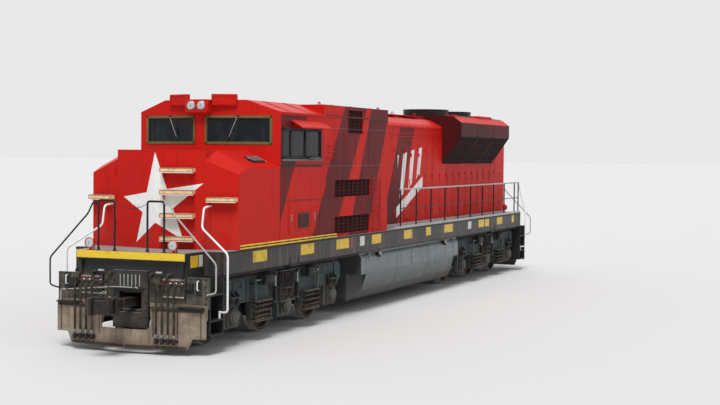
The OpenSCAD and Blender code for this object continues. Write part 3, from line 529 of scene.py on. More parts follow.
# %% Dress the CAD nodes
NODE_FINISH = {
    "nose": red_plain, "cab": red_sides, "cab_roof": red_plain, "sun_visors": red_plain, "cab_door": red_plain,
    "electrical_cabinet": red_sides, "engine_hood": red_hood, "left_hood_door": red_hood,
    "right_hood_door": red_hood, "radiator_housing": shaded_housing_paint, "deck_plate": frame_paint,
               "side_sills": frame_paint,
    "center_sills": frame_paint, "body_bolsters": frame_paint, "draft_pockets": frame_paint,
    "front_truck_beams": truck_paint, "rear_truck_beams": truck_paint,
    "end_platforms": frame_paint, "corner_steps": black_trim, "fuel_tank": tank_paint, "plows": plow_paint,
    "front_coupler": casting, "front_knuckle": casting, "rear_coupler": casting, "rear_knuckle": casting,
    "front_truck_frame": truck_paint, "rear_truck_frame": truck_paint, "front_truck_gear": truck_paint,
    "rear_truck_gear": truck_paint, "fan_shrouds": black_paint, "front_fan": bare_steel, "rear_fan": bare_steel,
    "engine_block": engine_grey, "control_desk": engine_grey, "nose_treads": tread_cream,
    **{f"wheelset_{i}": wheel_steel for i in range(1, 7)},
}


def dress(node, material):
    mesh = frame["nodes"][node].data
    mesh.materials.clear()
    mesh.materials.append(material)


for name, material in NODE_FINISH.items():
    dress(name, material)
print(len(NODE_FINISH), "nodes dressed")

# %% [markdown]
# ## A mesh builder
# Most added parts are small steelwork: plates with eased edges, bent pipes, turned lamps. `Build` gathers
# such solids in one mesh, so a whole ladder or lamp is one piece that rides on one body. Each solid takes
# the finish that is current when it is made, which is how a lamp gets a red shell and a silver bowl.

# %% Builder
AXES = {"x": Vector((1, 0, 0)), "y": Vector((0, 1, 0)), "z": Vector((0, 0, 1))}


class Build:
    """Solids gathered in one mesh. paint() chooses the finish of those that follow."""

    def __init__(self, *materials):
        self.mesh, self.materials, self.current = bmesh.new(), list(materials), 0

    def paint(self, material):
        if material not in self.materials:
            self.materials.append(material)
        self.current = self.materials.index(material)
        return self

    def mark(self, faces, smooth=True):
        for face in faces:
            face.material_index, face.smooth = self.current, smooth

    def box(self, low, high, ease=0.003, matrix=None):
        """A plate or block from corner to corner, with its edges eased."""
        low, high = Vector(low), Vector(high)
        size = Vector([abs(v) for v in high - low])
        made = bmesh.ops.create_cube(self.mesh, size=1.0, matrix=Matrix.Diagonal((*size, 1.0)))["verts"]
        faces = {f for v in made for f in v.link_faces}
        self.mark(faces, False)
        ease = min(ease, min(size) * 0.3)
        if ease > 0.0005:
            edges = list(dict.fromkeys(e for v in made for e in v.link_edges))
            made = bmesh.ops.bevel(self.mesh, geom=edges, offset=ease, segments=1, affect="EDGES",
                material=-1)["verts"] + [v for v in made if v.is_valid]
        place = Matrix.Translation((low + high) / 2)
        made = list(dict.fromkeys(v for v in made if v.is_valid))
        bmesh.ops.transform(self.mesh, matrix=(matrix or Matrix()) @ place, verts=made)
        return self

    def block(self, a, b, ease=0.003):
        """A block between any two opposite corners."""
        return self.box([min(p, q) for p, q in zip(a, b)], [max(p, q) for p, q in zip(a, b)], ease)

    def plate(self, outline, thick):
        """A flat plate: an outline of 3-D points, thickened by the vector thick."""
        bottom = [self.mesh.verts.new(p) for p in outline]
        top = [self.mesh.verts.new(Vector(p) + Vector(thick)) for p in outline]
        faces = [self.mesh.faces.new(bottom[::-1]), self.mesh.faces.new(top)]
        for i in range(len(outline)):
            j = (i + 1) % len(outline)
            faces.append(self.mesh.faces.new((bottom[i], bottom[j], top[j], top[i])))
        bmesh.ops.recalc_face_normals(self.mesh, faces=faces)
        self.mark(faces, False)
        return self

    def pipe(self, points, radius, sides=12, bend=0.0, steps=5, closed=False):
        """A round bar along points. With a bend radius, its corners become arcs."""
        path = round_corners([Vector(p) for p in points], bend, steps) if bend else [Vector(p) for p in points]
        count, rings, side = len(path), [], None
        for i, place in enumerate(path):
            before, after = path[i - 1] if (i or closed) else place, path[(i
                + 1) % count] if (i < count - 1 or closed) else place
            along = (after - before).normalized()
            side = along.orthogonal() if side is None else side - along * side.dot(along)
            side.normalize()
            other = along.cross(side)
            rings.append([self.mesh.verts.new(place + (side * math.cos(t) + other * math.sin(t)) * radius)
                          for t in (2 * math.pi * k / sides for k in range(sides))])
        faces = []
        for i in range(count if closed else count - 1):
            a, b = rings[i], rings[(i + 1) % count]
            faces += [self.mesh.faces.new((a[k], a[(k + 1) % sides], b[(k + 1) % sides], b[k]))
                      for k in range(sides)]
        self.mark(faces)
        if not closed:
            self.mark([self.mesh.faces.new(rings[0][::-1]), self.mesh.faces.new(rings[-1])], False)
        return self

    def turned(self, profile, centre, axis="z", sides=32):
        """A turned solid: (radius, distance along the axis) pairs, spun about the axis."""
        turn = AXES[axis].to_track_quat("Z", "Y") if isinstance(axis,
            str) else Vector(axis).to_track_quat("Z", "Y")
        rings = []
        for radius, along in profile:
            ring = [Vector((radius * math.cos(t), radius * math.sin(t), along))
                    for t in (2 * math.pi * k / sides for k in range(sides))]
            rings.append([self.mesh.verts.new(Vector(centre) + turn @ p) for p in ring])
        for a, b in zip(rings, rings[1:]):
            self.mark([self.mesh.faces.new((a[k], a[(k + 1) % sides], b[(k + 1) % sides], b[k]))
                       for k in range(sides)])
        self.mark([self.mesh.faces.new(rings[0][::-1]), self.mesh.faces.new(rings[-1])], False)
        return self

    def outward(self):
        """Turns every face outwards, after shapes that may have been mirrored."""
        bmesh.ops.recalc_face_normals(self.mesh, faces=self.mesh.faces[:])
        return self

    def object(self, name):
        mesh = bpy.data.meshes.new(name)
        self.mesh.to_mesh(mesh)
        self.mesh.free()
        for material in self.materials:
            mesh.materials.append(material)
        made = bpy.data.objects.new(name, mesh)
        bpy.context.scene.collection.objects.link(made)
        mesh.set_sharp_from_angle(angle=math.radians(42))
        return made

    def done(self, name, slot, body=ROOT, replaces=()):
        """Makes the object, and says what it rides on and the CAD nodes it stands for. The slot argument is not
        used.
        """
        made = self.object(name)
        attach(made, body)
        if replaces:
            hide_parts(*([replaces] if isinstance(replaces, str) else replaces))
        return made


def round_corners(points, bend, steps):
    path = [points[0]]
    for before, corner, after in zip(points, points[1:], points[2:]):
        back, on = before - corner, after - corner
        reach = min(bend, back.length * 0.48, on.length * 0.48)
        start, end = corner + back.normalized() * reach, corner + on.normalized() * reach
        path += [(start * (1 - t) + corner * t) * (1 - t) + (corner * (1 - t) + end * t) * t
                 for t in (k / steps for k in range(steps + 1))]
    return path + [points[-1]]


# %% [markdown]
# ## Repeats
# Bolts, latches and hinges come in hundreds. Geometry Nodes sets one template on every point of a list,
# turned to face the point's own direction, and the result is made real before the piece is handed over.

# %% Repeats with Geometry Nodes
def repeat(name, template, spots, material, body=ROOT):
    """Copies of the template. Each spot is a place and the way that the template's Z faces there."""
    mesh = bpy.data.meshes.new(name)
    mesh.from_pydata([tuple(place) for place, facing in spots], [], [])
    turns = mesh.attributes.new("turn", "QUATERNION", "POINT")
    for i, (place, facing) in enumerate(spots):
        z_axis = Vector(facing).normalized()
        x_axis = Vector((0, 0, 1)).cross(z_axis)
        x_axis = x_axis.normalized() if x_axis.length > 0.1 else Vector((1, 0, 0))
        basis = Matrix((x_axis, z_axis.cross(x_axis), z_axis)).transposed()
        turns.data[i].value = basis.to_quaternion()
    made = bpy.data.objects.new(name, mesh)
    bpy.context.scene.collection.objects.link(made)
    group = bpy.data.node_groups.new(name, "GeometryNodeTree")
    group.interface.new_socket("Geometry", in_out="INPUT", socket_type="NodeSocketGeometry")
    group.interface.new_socket("Geometry", in_out="OUTPUT", socket_type="NodeSocketGeometry")
    kinds = ("NodeGroupInput", "GeometryNodeObjectInfo", "GeometryNodeInputNamedAttribute",
             "GeometryNodeInstanceOnPoints", "GeometryNodeRealizeInstances", "GeometryNodeSetMaterial",
             "NodeGroupOutput")
    points, info, turn, copies, real, finish, out = (group.nodes.new(kind) for kind in kinds)
    info.inputs["Object"].default_value = template
    turn.data_type = "QUATERNION"
    turn.inputs["Name"].default_value = "turn"
    finish.inputs["Material"].default_value = material
    for a, b in ((points.outputs[0], copies.inputs["Points"]), (info.outputs["Geometry"],
        copies.inputs["Instance"]), (turn.outputs[0], copies.inputs["Rotation"]),
                 (copies.outputs[0], real.inputs[0]), (real.outputs[0], finish.inputs[0]),
                 (finish.outputs[0], out.inputs[0])):
        group.links.new(a, b)
    made.modifiers.new("copies", "NODES").node_group = group
    bpy.context.view_layer.update()
    solid = bpy.data.meshes.new_from_object(made.evaluated_get(bpy.context.evaluated_depsgraph_get()))
    made.modifiers.clear()
    made.data = solid
    solid.materials.clear()
    solid.materials.append(material)
    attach(made, body)
    return made


def bolt_template(size=0.012):
    """A hexagon head on a washer, at the origin, facing +Z."""
    made = Build(bare_steel)
    made.turned([(size * 1.25, 0.0), (size * 1.25, size * 0.2), (size * 1.15, size * 0.22)], (0, 0, 0), "z", 12)
    made.turned([(size, size * 0.2), (size, size * 0.75), (size * 0.85, size * 0.85)], (0, 0, 0), "z", 6)
    return made.object("bolt_template")


# %% [markdown]
# ## The raked faces of the nose and cab
# Both fronts are shallow wedges. A point on one is easiest to give as a distance along the face from the
# middle crease, a depth behind the face and a height. `on_face` turns that into X, Y, Z.

# %% Places on the raked fronts
CAB_RAKE = math.atan((CAB_CREASE - CAB_X) / SIDE)
NOSE_RAKE = math.atan((NOSE_CREASE - NOSE_CORNER) / SIDE)


def on_face(crease, rake, along, depth, height, side=1):
    return Vector((crease - along * math.sin(rake) - depth * math.cos(rake),
                   side * (along * math.cos(rake) - depth * math.sin(rake)), height))


def on_cab(*place):
    return on_face(CAB_CREASE, CAB_RAKE, *place)


def laid(matrix, *points):
    """Points of a face's own space, as places on the locomotive."""
    return [matrix @ Vector(p) for p in points]


def face_matrix(crease, rake, side):
    """Turns X along the face, Y into it, Z up, for one side of a raked front."""
    origin = Vector((crease, 0, 0))
    along, into = Vector((-math.sin(rake), side * math.cos(rake), 0)), Vector((-math.cos(rake),
        -side * math.sin(rake), 0))
    return Matrix.Translation(origin) @ Matrix((along, into, Vector((0, 0, 1)))).transposed().to_4x4()


print("cab rake", round(math.degrees(CAB_RAKE), 2), "nose rake", round(math.degrees(NOSE_RAKE), 2))

# %% [markdown]
# # Windows
# Each windscreen is a pane held by a rubber gasket in an olive frame that laps over the cab plate. A side
# window has three lights between posts, with a sill rail, a gutter strip and an arm rest. Its visor hangs on
# three brackets.

# %% Windscreens
def window(build, matrix, a, b, low, high, depth, trim, posts=(), lap=0.012):
    """A framed pane in matrix space: X from a to b, Y into the wall, Z from low to high."""
    w, rubber_w, post_w = 0.05, 0.016, 0.022
    build.paint(trim)
    for x0, x1, z0, z1 in ((a, b, low, low + w), (a, b, high - w, high), (a, a + w, low, high),
        (b - w, b, low, high)):
        build.box((x0, -lap, z0), (x1, depth * 0.95, z1), 0.004, matrix)
    for post in posts:
        build.box((post - post_w, -lap * 0.5, low + w), (post + post_w, depth * 0.8, high - w), 0.004, matrix)
    build.paint(rubber)
    ends = [a + w] + [p + s * post_w for p in sorted(posts) for s in (-1, 1)] + [b - w]
    for x0, x1 in zip(ends[::2], ends[1::2]):
        for p in ((x0, x1, low + w, low + w + rubber_w), (x0, x1, high - w - rubber_w, high - w),
                  (x0, x0 + rubber_w, low + w, high - w), (x1 - rubber_w, x1, low + w, high - w)):
            build.box((p[0], depth * 0.25, p[2]), (p[1], depth * 0.75, p[3]), 0.003, matrix)
        build.paint(glass).box((x0 + 0.004, depth * 0.42, low + w + 0.004), (x1 - 0.004, depth * 0.58,
            high - w - 0.004), 0.0, matrix)
        build.paint(rubber)


WIN_Z0, WIN_Z1 = at["windscreens"].z0, at["windscreens"].z1
WIN_OUTER = SIDE / math.cos(CAB_RAKE) - 0.165
SIDES = ((1, "left"), (-1, "right"))
for side, label in SIDES:
    screen = Build(olive_trim)
    window(screen, face_matrix(CAB_CREASE, CAB_RAKE, side), 0.11, WIN_OUTER, WIN_Z0, WIN_Z1, 0.058, olive_trim)
    screen.done(f"windscreen_{label}", "window", replaces="windscreens")
    wiper = Build(black_trim)
    pivot, tip = on_cab(0.77, -0.035, WIN_Z1 - 0.012, side), on_cab(0.6, -0.02, WIN_Z0 + 0.15, side)
    wiper.turned([(0.022, 0), (0.022, 0.03), (0.012, 0.045)], on_cab(0.77, -0.006, WIN_Z1 - 0.012, side),
                 (math.cos(CAB_RAKE), side * math.sin(CAB_RAKE), 0), 16)
    wiper.paint(rail_grey).pipe([pivot, (pivot + tip) / 2 + Vector((0.012, 0, 0)), tip], 0.006, 8)
    wiper.paint(rubber).pipe([tip + (pivot - tip) * 0.42 - Vector((0.006, 0, 0)),
        tip - (pivot - tip) * 0.3 - Vector((0.006, 0, 0))], 0.008, 6)
    wiper.done(f"wiper_{label}", "black_paint")

# %% Side windows
win, shade = at["side_windows"], at["sun_visors"]
for side, label in SIDES:
    panes = Build(black_trim)
    wall = Matrix.Translation((0, side * SIDE, 0)) @ Matrix.Diagonal((1, -side, 1, 1))
    window(panes, wall, win.x0, win.x1, win.z0, win.z1, 0.045, black_trim, (win.x1 - 0.42, win.x0 + 0.76))
    panes.paint(grey_trim).box((win.x0 - 0.02, side * SIDE, win.z0 - 0.035),
        (win.x1 + 0.02, side * (SIDE + 0.035), win.z0 + 0.004))
    panes.paint(black_trim).box((win.x0 + 0.05, side * (SIDE + 0.001), win.z1 - 0.05),
        (win.x1 - 0.05, side * (SIDE + 0.022), win.z1 - 0.03))
    panes.paint(vinyl).box((win.x0 + 0.12, side * SIDE, win.z0 - 0.01), (win.x0 + 0.7, side * (SIDE + 0.06),
        win.z0 + 0.05), 0.02)
    panes.outward().done(f"side_window_{label}", "window", replaces="side_windows")
    visor = Build(red_trim)
    for x in (shade.x0 + 0.1, (shade.x0 + shade.x1) / 2, shade.x1 - 0.1):
        visor.plate([(x, side * SIDE, 4.05), (x, side * SIDE, 4.19), (x, side * (SIDE + 0.22), 4.065)],
                    (0.006, 0, 0))
    visor.done(f"visor_brackets_{label}", "red_paint")
print("windows ready")

# %% [markdown]
# # Lamps and number boards
# A sealed-beam lamp is a bright bowl under a ribbed lens in a steel ring. The ring, the bowl and the lens
# are three turned shapes, so the glass has real depth in front of the silver.

# %% Lamps
def lamp(build, centre, axis, radius, shell=None):
    axis = Vector(axis).normalized()
    centre = Vector(centre)
    if shell:
        build.paint(shell).turned([(radius * 0.62, -radius * 1.3), (radius * 1.12, -radius * 0.1),
            (radius * 1.16, 0.0), (radius * 1.16, radius * 0.15), (radius * 1.02, radius * 0.15)], centre, axis)
    build.paint(bare_steel).turned([(radius * 1.08, -0.01), (radius * 1.08, 0.012), (radius * 0.97, 0.018),
        (radius * 0.95, -0.01)], centre, axis)
    build.paint(chrome).turned([(radius * 0.2, -0.002), (radius * 0.55, 0.004), (radius * 0.85, 0.01),
        (radius * 0.93, 0.014)], centre, axis)
    build.paint(lens).turned([(radius * 0.94, 0.013), (radius * 0.8, 0.02), (radius * 0.45, 0.027),
        (radius * 0.02, 0.029)], centre, axis)
    build.paint(bare_steel).turned([(radius * 0.2, 0.026), (radius * 0.16, 0.034), (radius * 0.05, 0.036)],
        centre, axis, 16)


def board(build, matrix, a, b, z0, z1, deep):
    """A blank number board: a box with an empty panel set in a frame on its front."""
    build.paint(red_trim).box((a, 0, z0), (b, deep, z1), 0.01, matrix)
    for x0, x1, low, high in ((a + .02, b - .02, z0 + .02, z0 + .04), (a + .02, b - .02, z1 - .04, z1 - .02),
        (a + .02, a + .04, z0 + .04, z1 - .04), (b - .04, b - .02, z0 + .04, z1 - .04)):
        build.box((x0, -0.008, low), (x1, 0.001, high), 0.002, matrix)
    build.paint(red_plain).box((a + 0.042, -0.002, z0 + 0.042), (b - 0.042, 0.001, z1 - 0.042), 0.0005, matrix)


ROOF_Z = at["cab_roof"].z1
EAVE_Z = ROOF_Z - 0.225
HIND = Matrix.Translation((hood.x0 - 0.06, 0, 0)) @ Matrix.Rotation(-math.pi / 2, 4, "Z")
boards = Build(red_trim)
for side in (1, -1):
    board(boards, face_matrix(CAB_CREASE + 0.132, CAB_RAKE + 0.094, side), 0.298, 0.798, EAVE_Z + 0.102,
          ROOF_Z + 0.107, 0.113)
    board(boards, HIND @ Matrix.Diagonal((side, 1, 1, 1)), 0.33, 0.86, 4.06, 4.23, 0.06)
boards.paint(red_trim).box((CAB_X + 0.16, -0.25, EAVE_Z - 0.04), (CAB_CREASE + 0.135, 0.25, ROOF_Z), 0.014)
boards.box((hood.x0 - 0.08, -0.25, 3.9), (hood.x0, 0.25, 4.12), 0.014)
for side in (1, -1):
    lamp(boards, (CAB_CREASE + 0.13, side * 0.11, EAVE_Z + 0.105), (1, 0, 0), 0.086)
    lamp(boards, (hood.x0 - 0.072, side * 0.11, 4.01), (-1, 0, 0), 0.086)
boards.done("number_boards_and_headlamps", "red_paint", replaces="number_boards")

ditch = Build(red_trim)
ditch_box = at["ditch_lights"]
for end in (1, -1):
    x = end * (ditch_box.x1 - 0.06)
    for side in (1, -1):
        y = side * 0.86
        ditch.paint(red_trim).box((x - 0.05, y - 0.055, DECK), (x + 0.05, y + 0.055, DECK + 0.014))
        ditch.box((x - 0.035, y - 0.012, DECK + 0.01), (x + 0.03, y + 0.012, DECK + 0.06))
        lamp(ditch, (x + end * 0.045, y, DECK + 0.13), (end, 0, 0), 0.085, red_trim)
        ditch.paint(black_trim).pipe([(x - end * 0.06, y, DECK + 0.13), (x - end * 0.1, y, DECK + 0.1),
            (x - end * 0.1, y, DECK + 0.002)], 0.01, 8, 0.03)
ditch.done("ditch_lights_detail", "white_paint", replaces="ditch_lights")
print("lamps ready")

# %% [markdown]
# # The front
# A white star lies across the wedge of the nose. It is drawn flat, cut along the crease and then each half
# is laid on its own face, so the fold runs through it as it does through real paint film.

# %% Star
STAR = [(0.0, 3.568), (0.9, 3.003), (0.53, 1.968), (-0.45, 1.898), (-0.77, 2.733)]


def crossing(a, b, c, d):
    """Where line a-b meets line c-d."""
    ax, az, bx, bz, cx, cz, dx, dz = *a, *b, *c, *d
    across = (ax - bx) * (cz - dz) - (az - bz) * (cx - dx)
    first, second = ax * bz - az * bx, cx * dz - cz * dx
    return ((first * (cx - dx) - (ax - bx) * second) / across,
            (first * (cz - dz) - (az - bz) * second) / across)


def make_star():
    outline = []
    for i in range(5):
        tip, after, before, skip = STAR[i], STAR[(i + 1) % 5], STAR[i - 1], STAR[(i + 2) % 5]
        outline += [tip, crossing(tip, skip, after, before)]
    mesh = bmesh.new()
    middle = mesh.verts.new((0, 0.03, 2.64))
    ring = [mesh.verts.new((0, y, z)) for y, z in outline]
    for i in range(10):
        mesh.faces.new((middle, ring[i], ring[(i + 1) % 10]))
    bmesh.ops.subdivide_edges(mesh, edges=mesh.edges[:], cuts=3, use_grid_fill=True)
    bmesh.ops.bisect_plane(mesh, geom=mesh.verts[:] + mesh.edges[:] + mesh.faces[:], plane_co=(0, 0, 0),
        plane_no=(0, 1, 0))
    for vert in mesh.verts:
        vert.co.x = NOSE_CREASE - abs(vert.co.y) * math.tan(NOSE_RAKE) + 0.0032
    bmesh.ops.recalc_face_normals(mesh, faces=mesh.faces[:])
    if sum(f.normal.x for f in mesh.faces) < 0:
        bmesh.ops.reverse_faces(mesh, faces=mesh.faces[:])
    data = bpy.data.meshes.new("nose_star")
    mesh.to_mesh(data)
    mesh.free()
    data.materials.append(white_paint)
    star = bpy.data.objects.new("nose_star", data)
    bpy.context.scene.collection.objects.link(star)
    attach(star, ROOT)


make_star()

# %% [markdown]
# ## Nose: treads, door, hatches and seams
# Each climbing tread is a box with an open serrated top. The CAD gives its body; orange edge strips, a
# white strip below, which is painted light standing for the lit sliver under each tread, and two gussets finish
# it. The nose door stays shut and has no joint, so its panel, hinges and handle are only raised on the nose.

# %% Nose fittings
TREADS = [(0.45, 0.64, 3.278, 1), (0.45, 0.64, 2.873, 1), (0.45, 0.64, 2.448, 1), (0.45, 0.64, 2.028, 1),
          (1.29, 0.56, 2.75, 1), (1.29, 0.56, 2.75, -1)]
treads = Build(tread_orange)
for middle, wide, top, side in TREADS:
    turn = face_matrix(NOSE_CREASE, NOSE_RAKE, side)
    a, b = middle - wide / 2, middle + wide / 2
    treads.paint(tread_orange)
    for z in (top - 0.07, top - 0.01):
        treads.box((a + 0.004, -0.1535, z), (b - 0.004, -0.15, z + 0.01), 0.001, turn)
    for x in (a, b - 0.012):
        treads.box((x, -0.1535, top - 0.07), (x + 0.012, -0.15, top), 0.001, turn)
    treads.paint(bare_steel)
    for i in range(5):
        y = -0.145 + i * 0.03
        treads.box((a + 0.01, y, top), (b - 0.01, y + 0.004, top + 0.008), 0.001, turn)
    for i in range(13):
        x = a + 0.02 + i * (wide - 0.046) / 12
        treads.box((x, -0.145, top), (x + 0.005, -0.006, top + 0.006), 0.001, turn)
    # white strip under the tread's front: painted light, the lit sliver just below each tread
    treads.paint(white_paint).box((a, -0.148, top - 0.088), (b, -0.138, top - 0.072), 0.001, turn)
    treads.paint(red_trim)
    for x in (a + 0.05, b - 0.058):
        gusset = laid(turn, (x, 0, top - 0.07), (x, -0.13, top - 0.07), (x, 0, top - 0.2))
        treads.plate(gusset, turn.to_3x3() @ Vector((0.008, 0, 0)))
treads.outward().done("nose_tread_details", "tread_steel")

nose_parts = Build(red_trim)
right = face_matrix(NOSE_CREASE, NOSE_RAKE, -1)
left = face_matrix(NOSE_CREASE, NOSE_RAKE, 1)
nose_parts.box((0.34, -0.0015, 1.93), (0.98, 0.001, 3.42), 0.0005, right)      # the nose door
for z in (2.15, 2.65, 3.15):
    nose_parts.box((0.985, -0.02, z), (1.03, 0.001, z + 0.12), 0.003, right)
    nose_parts.pipe(laid(right, (0.99, -0.02, z - 0.008), (0.99, -0.02, z + 0.128)), 0.009, 10)
nose_parts.paint(white_paint).box((0.38, -0.014, 2.55), (0.43, -0.003, 2.67), 0.003, right)
nose_parts.pipe(laid(right, (0.405, -0.012, 2.6), (0.405, -0.05, 2.6), (0.52, -0.05, 2.6)), 0.008, 8, 0.015)
nose_parts.paint(red_trim)
for side_matrix in (left, right):
    nose_parts.box((0.0, -0.003, 3.585), (0.93, 0.001, 3.6), 0.001, side_matrix)
    nose_parts.box((1.06, -0.003, 1.92), (1.066, 0.001, 3.3), 0.001, side_matrix)
nose_parts.outward().done("nose_door_and_seams", "red_paint")

# sand filler hatches on the shoulders, beside the cab
SHOULDER_Y = 1.28
shoulder_z = nose.z1 - (SHOULDER_Y - 0.93) * 0.5
hatch = Build(black_trim)
for side in (1, -1):
    tilt = Matrix.Translation((7.92, side * SHOULDER_Y,
        shoulder_z)) @ Matrix.Rotation(-side * math.atan(0.5), 4, "X")
    hatch.paint(black_trim).box((-0.26, -0.11, 0.0), (0.26, 0.11, 0.028), 0.01, tilt)
    hatch.paint(grey_trim).box((-0.22, -0.085, 0.026), (0.22, 0.085, 0.04), 0.008, tilt)
    hatch.paint(bare_steel).pipe([tilt @ Vector((-0.27, 0.12 * s, 0.02)) for s in (-1, 1)], 0.01, 8)
    hatch.box((0.23, -0.03, 0.03), (0.3, 0.03, 0.045), 0.004, tilt)
hatch.done("sand_filler_hatches", "black_paint")
print("nose fittings ready")

# %% [markdown]
# ## Railings
# The CAD rails are eight-sided bars with square joints. Here each becomes a smooth pipe bent at its corners,
# with a flange and two bolts under each post. Posts are black, top rails grey and grab rails white.

# %% Railings
POST_Y, RAIL_Z, RAIL_R = SIDE - 0.06, DECK + 0.93, 0.019
POST_STEP, CABINET_REAR = 1.087, cabinet.x0
left_posts = [CABINET_REAR - 0.915 - i * POST_STEP for i in range(10)] + [-STEP_X + 0.08]
right_posts = [left_posts[0] + i * (POST_STEP - 0.12) for i in range(4, 0, -1)] + left_posts
FACE_X = END_X + 0.04


def flange(build, x, y, z=None):
    z = DECK if z is None else z
    build.paint(black_trim).turned([(0.042, 0.001), (0.042, 0.012), (0.026, 0.016), (0.024, 0.05)],
        (x, y, z), "z", 16)
    build.paint(bare_steel)
    for s in (-1, 1):
        build.turned([(0.007, 0.012), (0.007, 0.02)], (x + s * 0.032, y, z), "z", 6)


def corner(end, side):
    """Turns places at the front left corner into those of the given end and side."""
    return lambda x, y, z: (end * x, side * y, z)


rails = Build(black_paint)
for side, posts in ((1, left_posts), (-1, right_posts)):
    y = side * POST_Y
    for x in posts:
        rails.paint(black_paint).pipe([(x, y, DECK), (x, y, RAIL_Z)], RAIL_R, 14)
        flange(rails, x, y)
        rails.paint(rail_grey).turned([(RAIL_R + 0.005, -0.03), (RAIL_R + 0.005, 0.03)],
            (x, y, RAIL_Z), "x", 14)
        rails.paint(black_paint).turned([(0.017, -0.02), (0.017, 0.02)], (x, y, DECK + 0.47), "x", 12)
    rails.paint(rail_grey).pipe([(posts[0] + RAIL_R, y, RAIL_Z), (posts[-1] - RAIL_R, y, RAIL_Z)], RAIL_R, 14)
    rails.paint(black_paint).pipe([(posts[0], y, DECK + 0.47), (posts[-1], y, DECK + 0.47)], 0.011, 10)
rails.done("walkway_railings", "black_paint", replaces="side_railings")

ends = Build(black_paint)
for end in (1, -1):
    for side in (1, -1):
        p = corner(end, side)
        top = DECK + 0.9
        ends.paint(black_paint).pipe([p(FACE_X, 0.34, DECK), p(FACE_X, 0.34, top), p(FACE_X, 0.68, top),
            p(FACE_X, 0.68, DECK)], RAIL_R, 14, 0.05)
        for y in (0.34, 0.68):
            flange(ends, end * FACE_X, side * y)
        ends.paint(rail_grey if side > 0 else black_paint)
        ends.pipe([p(FACE_X, 0.68, top - 0.03), p(FACE_X, 0.79, top - 0.03), p(FACE_X, 0.9, top - 0.24),
                   p(FACE_X, SIDE + 0.16, 1.63), p(FACE_X, SIDE + 0.16, 1.128), p(FACE_X, SIDE - 0.02, 1.088),
                   p(END_X, SIDE - 0.02, 1.088)], RAIL_R * 0.8, 12, 0.06)
        ends.paint(white_paint)
        grab_x, out = STEP_X + 0.11, SIDE + 0.13
        if end > 0:
            face_x = NOSE_CREASE - 1.04 * math.tan(NOSE_RAKE)
            start = [p(face_x - 0.02, 1.04, 2.6), p(NOSE_CORNER + 0.39, 1.05, 2.57),
                     p(NOSE_CORNER + 0.46, 1.05, 2.21)]
        else:
            start = [p(STEP_X - 0.08, POST_Y, DECK + 0.85), p(STEP_X, POST_Y, DECK + 0.85)]
        ends.pipe(start + [p(grab_x, out, 1.77), p(grab_x, out, 0.74), p(grab_x, SIDE - 0.03, 0.74)],
                  RAIL_R, 12, 0.07)
        ends.pipe([p(grab_x, SIDE - 0.03, 0.76), p(grab_x, SIDE - 0.03, 0.628)], RAIL_R, 10)
        # short white hand holds on dark plates at the outer ends of the end plate
        ends.paint(black_trim).block(p(END_X, 1.3, 1.06), p(END_X + 0.006, 1.42, 1.36))
        ends.paint(white_paint).pipe([p(END_X, 1.36, 1.16), p(END_X + 0.06, 1.36, 1.16),
            p(END_X + 0.06, 1.36, 1.32), p(END_X, 1.36, 1.32)], 0.011, 10, 0.02)
ends.done("end_rails_and_grab_rails", "white_paint", replaces=("end_railings", "grab_rails"))

# the chain across the middle of each end, between the inner posts
chain = Build(black_paint)
for end in (1, -1):
    sag = [(end * FACE_X, y, DECK + 0.86 - 0.1 * (1 - (y / 0.34) ** 2)) for y in np.linspace(-0.32, 0.32, 33)]
    for i, (a, b) in enumerate(zip(sag, sag[1:])):
        a, b = Vector(a), Vector(b)
        mid, along = (a + b) / 2, (b - a).normalized()
        across = (AXES["x"] if i % 2 else along.cross(AXES["x"])).normalized()
        loop = [mid + along * (0.013 * math.cos(t)) + across * (0.007 * math.sin(t)) for t in (math.pi * k / 5
            for k in range(10))]
        chain.pipe(loop, 0.0025, 5, closed=True)
chain.done("end_chains", "black_paint")
print("railings ready")

# %% [markdown]
# ## End plates, hoses and plows
# Everything on the pilot is filthy steel in shades of brown-green and black. The anticlimber's yellow lip is
# paint in the finish. The step bars over the plow, the hose cocks and the coupler's lift rod are solids.

# %% Pilot
def platform_finish():
    finish = Finish("end_plate_paint")
    facing = finish.facing()
    ahead, up = facing[0].size().rise(0.7, 0.8), facing[2].rise(0.6, 0.8)
    paint, rough = weathered(finish, (0.02, 0.021, 0.022), (0.04, 0.04, 0.04), 1.0, 0.8, 0.2, 0.3)
    blotch = finish.cloud(3.2, 5.0, 0.7).rise(0.35, 0.7)
    pilot = ahead * (1.0 - finish.z.rise(1.33, 1.37)) * finish.y.size().rise(0.36, 0.37)
    paint = finish.blend(pilot, paint, finish.blend(blotch, (0.055, 0.052, 0.042), (0.15, 0.135, 0.105)))
    lip = ahead * finish.x.size().rise(END_X + 0.07, END_X + 0.075) * finish.z.between(DECK - 0.135,
        DECK - 0.004)
    scuffs = finish.cloud(7.0, 5.0, 0.75).rise(0.55, 0.7)
    paint = finish.blend(lip, paint, finish.blend(scuffs * 0.5, YELLOW, (0.22, 0.16, 0.06)))
    paint = finish.blend(up, paint, finish.blend(blotch, (0.3, 0.31, 0.31), (0.14, 0.14, 0.13)))
    return finish.done(paint, rough, Normal=finish.relief(finish.cloud(18.0, 4.0), 0.004, 0.6, 0.008))


dress("end_platforms", platform_finish())


def hose(build, points, radius):
    """A hose with a crimped steel sleeve at each end."""
    build.paint(rubber).pipe(points, radius, 14, 0.12, 8)
    for a, b in ((points[0], points[1]), (points[-1], points[-2])):
        a, b = Vector(a), Vector(b)
        way = (b - a).normalized()
        build.paint(bare_steel).turned([(radius * 1.1, 0), (radius * 1.3, 0.01), (radius * 1.3, 0.045),
            (radius * 1.05, 0.06)], a, tuple(way), 16)


